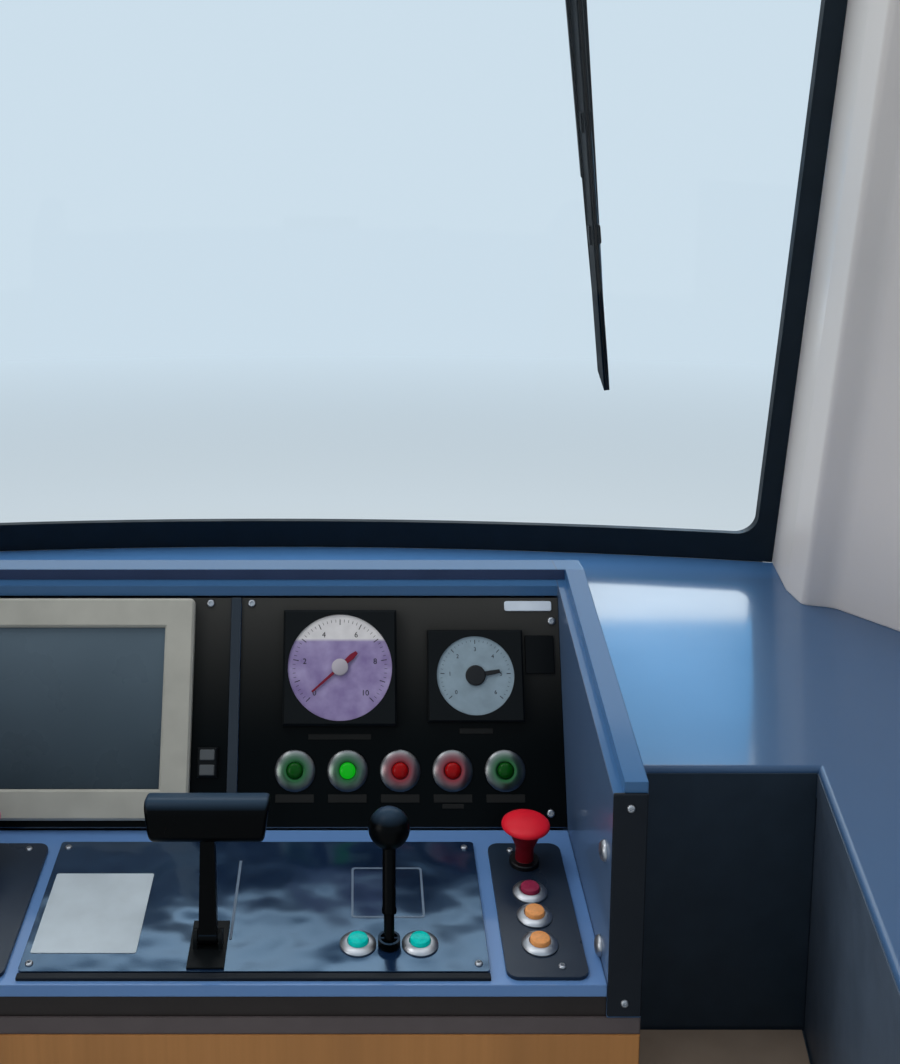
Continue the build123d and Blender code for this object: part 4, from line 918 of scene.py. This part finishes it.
def handle():
    """T-handle with well rounded long edges and softly rounded ends."""
    low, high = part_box("t_handle")
    place = plane((Vector(low) + Vector(high)) / 2, (0.0, -math.cos(HANDLE_LEAN), math.sin(HANDLE_LEAN)))
    tall, deep, foot, head, corner = 33.0, 30.0, 43.0, 47.5, 10.5
    ends = [(0.0, 3.2), (0.35, 2.0), (1.1, 0.9), (2.2, 0.25), (3.6, 0.0)]
    stations = [(-1, *end) for end in ends] + [(1, *end) for end in reversed(ends)]
    levels = []
    for side, drop, inset in stations:
        outline = rounded(deep - 2 * inset, tall - 2 * inset, corner - inset, 8)
        half = [foot + (head - foot) * (y / tall + 0.5) - drop for _, y in outline]
        levels.append([(side * reach, y, z) for (z, y), reach in zip(outline, half)])
    piece = Piece("t_handle_grip", "master_controller", "lever_black")
    piece.loft(place, levels, FINISHES["lever_black"])
    piece.done(replaces=["t_handle"])


def console_trim():
    """Trims and fasteners of the cheeks, the dividing strip's cover, a dark strip of painted shade on the
    rim's riser and thin liners that add painted shade in the niches.
    """
    piece = Piece("console_trim", slot="lining_dark")
    for side in (-1, 1):
        face = forward(side * 0.3195, CHEEK_FRONT, 0.766)
        piece.bar(face, (25.0, 174.0, 2.4), TRIM_NAVY, 0.8)
        for end in (1, -1):
            piece.screw(face @ Matrix.Translation((0, end * 0.076, 0.0024)), 3.0)
    piece.bar(at(PANEL, 13.0, 100.8, 2.0), (9.0, 199.6, 0.5), STRIP_SLATE, 0.2)
    # Painted shade: a dark strip across the rim's riser.
    piece.bar(forward(0.0, -0.080, 0.9302), (628.0, 9.0, 0.5), RIM_PAINTED_SHADE, 0.1)
    dome = [(8.0, 0.0), (8.0, 0.8), (7.2, 2.4), (5.2, 3.7), (2.4, 4.3), (0.4, 4.4)]
    for y, z in ((-0.339, 0.796), (-0.331, 0.715)):
        for side in (-1, 1):
            inward = Matrix.Rotation(-side * math.pi / 2, 4, "Y")
            piece.turned(Matrix.Translation((side * CHEEK_INNER, y, z)) @ inward, dome, SCREW, 32)
    for side in (-1, 1):
        # Liners in the niches: navy on the back and slate on the side cabinet, both darkened as painted
        # shade.
        niche = forward(side * 0.4302, LEDGE_FRONT, 0.6535)
        piece.bar(niche, (193.0, 242.0, 0.9), FINISHES["lining_dark"], 0.2)
        piece.bar(cabinet_face(side, 0.2445, 0.7635), (495.0, 22.0, 0.9), SLATE_PAINTED_SHADE, 0.2)
    piece.done()


def niche_mats():
    """Flat mats on the floors of the two niches."""
    piece = Piece("niche_mats", slot="lining_dark")
    corners = [(334.0, -361.0), (489.0, -361.0), (525.0, -164.0), (334.0, -164.0)]
    for side in (-1, 1):
        outline = [(side * x, y) for x, y in corners]
        piece.stack(Matrix.Translation((0, 0, 0.528)), [(outline, 0.0), (outline, 2.0)], MAT_BROWN)
    piece.done()


def cupboard_band():
    """Tan band between the edge trim and the cupboard's doors."""
    piece = Piece("cupboard_band", slot="laminate_tan")
    piece.bar(forward(0.0, CHEEK_FRONT, 0.639), (663.0, 49.0, 1.0), FINISHES["laminate_tan"], 0.2)
    piece.done()


def door_locks():
    """A turn lock near the meeting edge of each cupboard door."""
    for side, body in ((-1, "left_door"), (1, "right_door")):
        piece = Piece(f"{body}_lock", body, "steel")
        face = forward(side * 0.034, CHEEK_FRONT, 0.545)
        piece.turned(face, [(11.0, 0.0), (11.0, 1.4), (10.0, 2.2), (8.2, 2.4)], SCREW, 40)
        piece.turned(face, [(6.4, 2.4), (6.4, 3.6), (5.8, 4.2)], KEY_GREY, 32)
        piece.bar(face @ Matrix.Translation((0, 0, 0.0042)), (2.2, 8.0, 1.6), SCREW, 0.2)
        piece.done()


def wiper_fittings():
    """Spindle cap, spring cover, yokes, rubber lip and tapered end of the wiper."""
    black = FINISHES["wiper_black"]
    blade = 580.0
    piece = Piece("wiper_fittings", "wiper", "wiper_black")
    piece.turned(at(WIPER, 0, 0, 38.0), [(17.0, 0.0), (17.0, 3.0), (15.0, 5.5), (10.0, 7.0)], black, 40)
    piece.turned(at(WIPER, 0, 0, 45.0), [(8.0, 0.0), (8.0, 5.0), (6.5, 6.0)], SCREW, 6)
    piece.bar(at(WIPER, 0, 96.0, 38.0), (26.0, 130.0, 5.0), black, 1.6)
    piece.turned(at(WIPER, 0, blade, 38.0), [(5.0, 0.0), (5.0, 1.5), (3.5, 2.2)], SCREW, 24)
    for offset in (-75.0, 75.0):
        piece.bar(at(WIPER, 0, blade + offset, 14.0), (15.6, 26.0, 13.0), black, 1.5)
    piece.bar(at(WIPER, 0, blade, 29.0), (10.0, 450.0, 1.0), black, 0.4)
    piece.bar(at(WIPER, 0, blade, 4.0), (2.4, 584.0, 3.4), RUBBER_LIP, 0.3)
    base, taper = 28.6, 0.7
    fin = []
    for down, half, crest in ((574.0, 9.8, 37.4), (640.0, 9.0, 36.0), (760.0, 7.2, 32.8), (864.0, 5.6, 30.4)):
        fin.append([(-half, -down, base), (half, -down, base), (half * taper, -down, crest),
                    (-half * taper, -down, crest)])
    piece.loft(WIPER, fin, black)
    piece.done()


def headlamp_insides():
    """Two bowls with bulbs and a dark surround behind each clear lamp cover."""
    shell = [(12.0, 0.2), (24.0, 3.0), (33.0, 8.5), (39.0, 16.0), (42.0, 22.0), (44.0, 22.0), (44.0, 20.0)]
    bulb = [(5.0, 0.2), (5.0, 12.0), (4.0, 15.0), (1.5, 16.5)]
    for name in ("left", "right"):
        piece = Piece(f"headlamp_{name}_inside", slot="lamp")
        low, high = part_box(f"headlamp_{name}")
        face = plane(((low[0] + high[0]) / 2, low[1] + 0.002, (low[2] + high[2]) / 2), (0, 1, 0))
        piece.plate(face, 226.0, 106.0, 1.5, GLOSS_BLACK, 28.0, 0.3)
        for across in (-1, 1):
            bowl = face @ Matrix.Translation((across * 0.053, 0, 0.0015))
            piece.turned(bowl, shell, MIRROR, 48, cap_end=False)
            piece.turned(bowl, bulb, BULB, 24)
        piece.done()


def floor_ribs():
    """Ribbed covering on the floor behind the console, clear of the bolt holes."""
    piece = Piece("floor_ribs", slot="floor")
    for k in range(41):
        x = -320.0 + 16.0 * k
        piece.bar(Matrix.Translation((x * MM, -0.515, 0.030)), (6.0, 258.0, 1.6), FINISHES["floor"], 0.5)
    piece.done()


for dress in (gauge_face, meter_face, panel_fittings, desk_fittings, indicator_lamps, desk_buttons,
              mushrooms, knob, handle, console_trim, niche_mats, cupboard_band, door_locks,
              wiper_fittings, headlamp_insides, floor_ribs):
    dress()


def make_camera():
    """Camera at the photograph's viewing angle, with the same framing."""
    data = bpy.data.cameras.new("camera")
    data.sensor_width = SENSOR
    data.lens = FOCAL_PIXELS / PHOTO_HEIGHT * SENSOR
    data.shift_x = (PHOTO_WIDTH / 2 - PRINCIPAL_X) / PHOTO_HEIGHT
    data.shift_y = (PRINCIPAL_Y - PHOTO_HEIGHT / 2) / PHOTO_HEIGHT
    data.clip_start = 0.02
    data.clip_end = 200.0
    camera = bpy.data.objects.new("camera", data)
    camera.location = CAMERA_PLACE
    camera.rotation_euler = (math.radians(90 - CAMERA_PITCH), 0, 0)
    bpy.context.scene.collection.objects.link(camera)
    bpy.context.scene.camera = camera


def area_light(name, place, target, width, height, power, colour=(1, 1, 1)):
    """A soft rectangular lamp that doesn't show itself."""
    data = bpy.data.lights.new(name, "AREA")
    data.shape = "RECTANGLE"
    data.size = width
    data.size_y = height
    data.energy = power
    data.color = colour
    light = bpy.data.objects.new(name, data)
    light.location = place
    light.rotation_euler = (Vector(target) - Vector(place)).to_track_quat("-Z", "Y").to_euler()
    light.visible_camera = False
    light.visible_transmission = False
    bpy.context.scene.collection.objects.link(light)


def reflector(name, x_range, y, z_range, strength, colour):
    """A soft card beyond the windscreen that shows only in glossy finishes."""
    material, output = bare_material(name)
    glow = emission(material.node_tree, colour, strength)
    material.node_tree.links.new(glow.outputs[0], output.inputs[0])
    data = bpy.data.meshes.new(name)
    (left, right), (low, high) = x_range, z_range
    data.from_pydata([(left, y, low), (right, y, low), (right, y, high), (left, y, high)], [], [(0, 1, 2, 3)])
    data.materials.append(material)
    card = bpy.data.objects.new(name, data)
    for kind in ("camera", "diffuse", "transmission", "shadow", "volume_scatter"):
        setattr(card, f"visible_{kind}", False)
    bpy.context.scene.collection.objects.link(card)


def backdrop_share(tree):
    """One for rays that see the background: camera, glossy and transmission rays."""
    path = tree.nodes.new("ShaderNodeLightPath")
    share = path.outputs["Is Camera Ray"]
    for name in ("Is Glossy Ray", "Is Transmission Ray"):
        most = tree.nodes.new("ShaderNodeMath")
        most.operation = "MAXIMUM"
        tree.links.new(share, most.inputs[0])
        tree.links.new(path.outputs[name], most.inputs[1])
        share = most.outputs[0]
    return share


def stage_floor():
    """Pale floor that keeps shadows near the object and fades into the backdrop far away."""
    material, output = bare_material("stage_floor")
    tree = material.node_tree
    matt = tree.nodes.new("ShaderNodeBsdfDiffuse")
    matt.inputs["Color"].default_value = (*FLOOR_COLOUR, 1.0)
    place = tree.nodes.new("ShaderNodeTexCoord")
    length = tree.nodes.new("ShaderNodeVectorMath")
    length.operation = "LENGTH"
    tree.links.new(place.outputs["Object"], length.inputs[0])
    fade = tree.nodes.new("ShaderNodeMapRange")
    tree.links.new(length.outputs["Value"], fade.inputs["Value"])
    for socket, value in (("From Min", 1.5), ("From Max", 9.0), ("To Min", 0.30), ("To Max", 1.0)):
        fade.inputs[socket].default_value = value
    share = tree.nodes.new("ShaderNodeMath")
    share.operation = "MULTIPLY"
    tree.links.new(fade.outputs["Result"], share.inputs[0])
    tree.links.new(backdrop_share(tree), share.inputs[1])
    blend_shaders(tree, output, share.outputs[0], matt, emission(tree, BACKDROP))
    data = bpy.data.meshes.new("stage_floor")
    rim = [(FLOOR_REACH * c, FLOOR_REACH * s, 0.0) for c, s in ring(1.0, 96)]
    data.from_pydata(rim, [], [tuple(range(len(rim)))])
    data.materials.append(material)
    floor = bpy.data.objects.new("stage_floor", data)
    bpy.context.scene.collection.objects.link(floor)


def studio_world():
    """Soft light that is stronger from ahead and above, and a plain pale backdrop."""
    world = bpy.data.worlds.new("studio")
    bpy.context.scene.world = world
    world.use_nodes = True
    tree = world.node_tree
    tree.nodes.clear()
    output = tree.nodes.new("ShaderNodeOutputWorld")
    place = tree.nodes.new("ShaderNodeTexCoord")
    toward = tree.nodes.new("ShaderNodeVectorMath")
    toward.operation = "DOT_PRODUCT"
    tree.links.new(place.outputs["Generated"], toward.inputs[0])
    toward.inputs[1].default_value = SKY_DIRECTION
    ramp = tree.nodes.new("ShaderNodeMapRange")
    tree.links.new(toward.outputs["Value"], ramp.inputs["Value"])
    for socket, value in (("From Min", -0.7), ("From Max", 0.9),
                          ("To Min", WORLD_BACK), ("To Max", WORLD_FRONT)):
        ramp.inputs[socket].default_value = value
    light = tree.nodes.new("ShaderNodeBackground")
    light.inputs["Color"].default_value = (*SKY_COLOUR, 1.0)
    tree.links.new(ramp.outputs["Result"], light.inputs["Strength"])
    seen = tree.nodes.new("ShaderNodeBackground")
    seen.inputs["Color"].default_value = (*BACKDROP, 1.0)
    blend_shaders(tree, output, backdrop_share(tree), light, seen)


def make_stage():
    stage_floor()
    studio_world()
    area_light("sky_front", (0.4, 3.4, 3.6), (0.1, 0.0, 0.8), 4.0, 2.5, 66.0, SKY_COLOUR)
    area_light("ceiling", (0.0, 0.3, 7.0), (0.0, -0.1, 0.8), 6.0, 5.0, 104.0)
    area_light("fill_left", (-3.6, -1.9, 1.9), (0.2, -0.2, 0.8), 2.5, 2.0, 58.0, (1.0, 0.97, 0.93))
    area_light("fill_high", (-2.6, -0.5, 5.2), (0.5, 0.1, 1.0), 2.0, 2.0, 52.0, (1.0, 0.985, 0.97))
    reflector("card_bright", (0.56, 0.88), 1.2, (1.02, 1.105), 7.0, (0.86, 0.94, 1.0))
    reflector("card_blue", (0.57, 0.90), 1.21, (1.105, 1.42), 4.2, (0.12, 0.50, 1.0))


make_camera()
make_stage()
bpy.context.scene.view_settings.view_transform = "Standard"
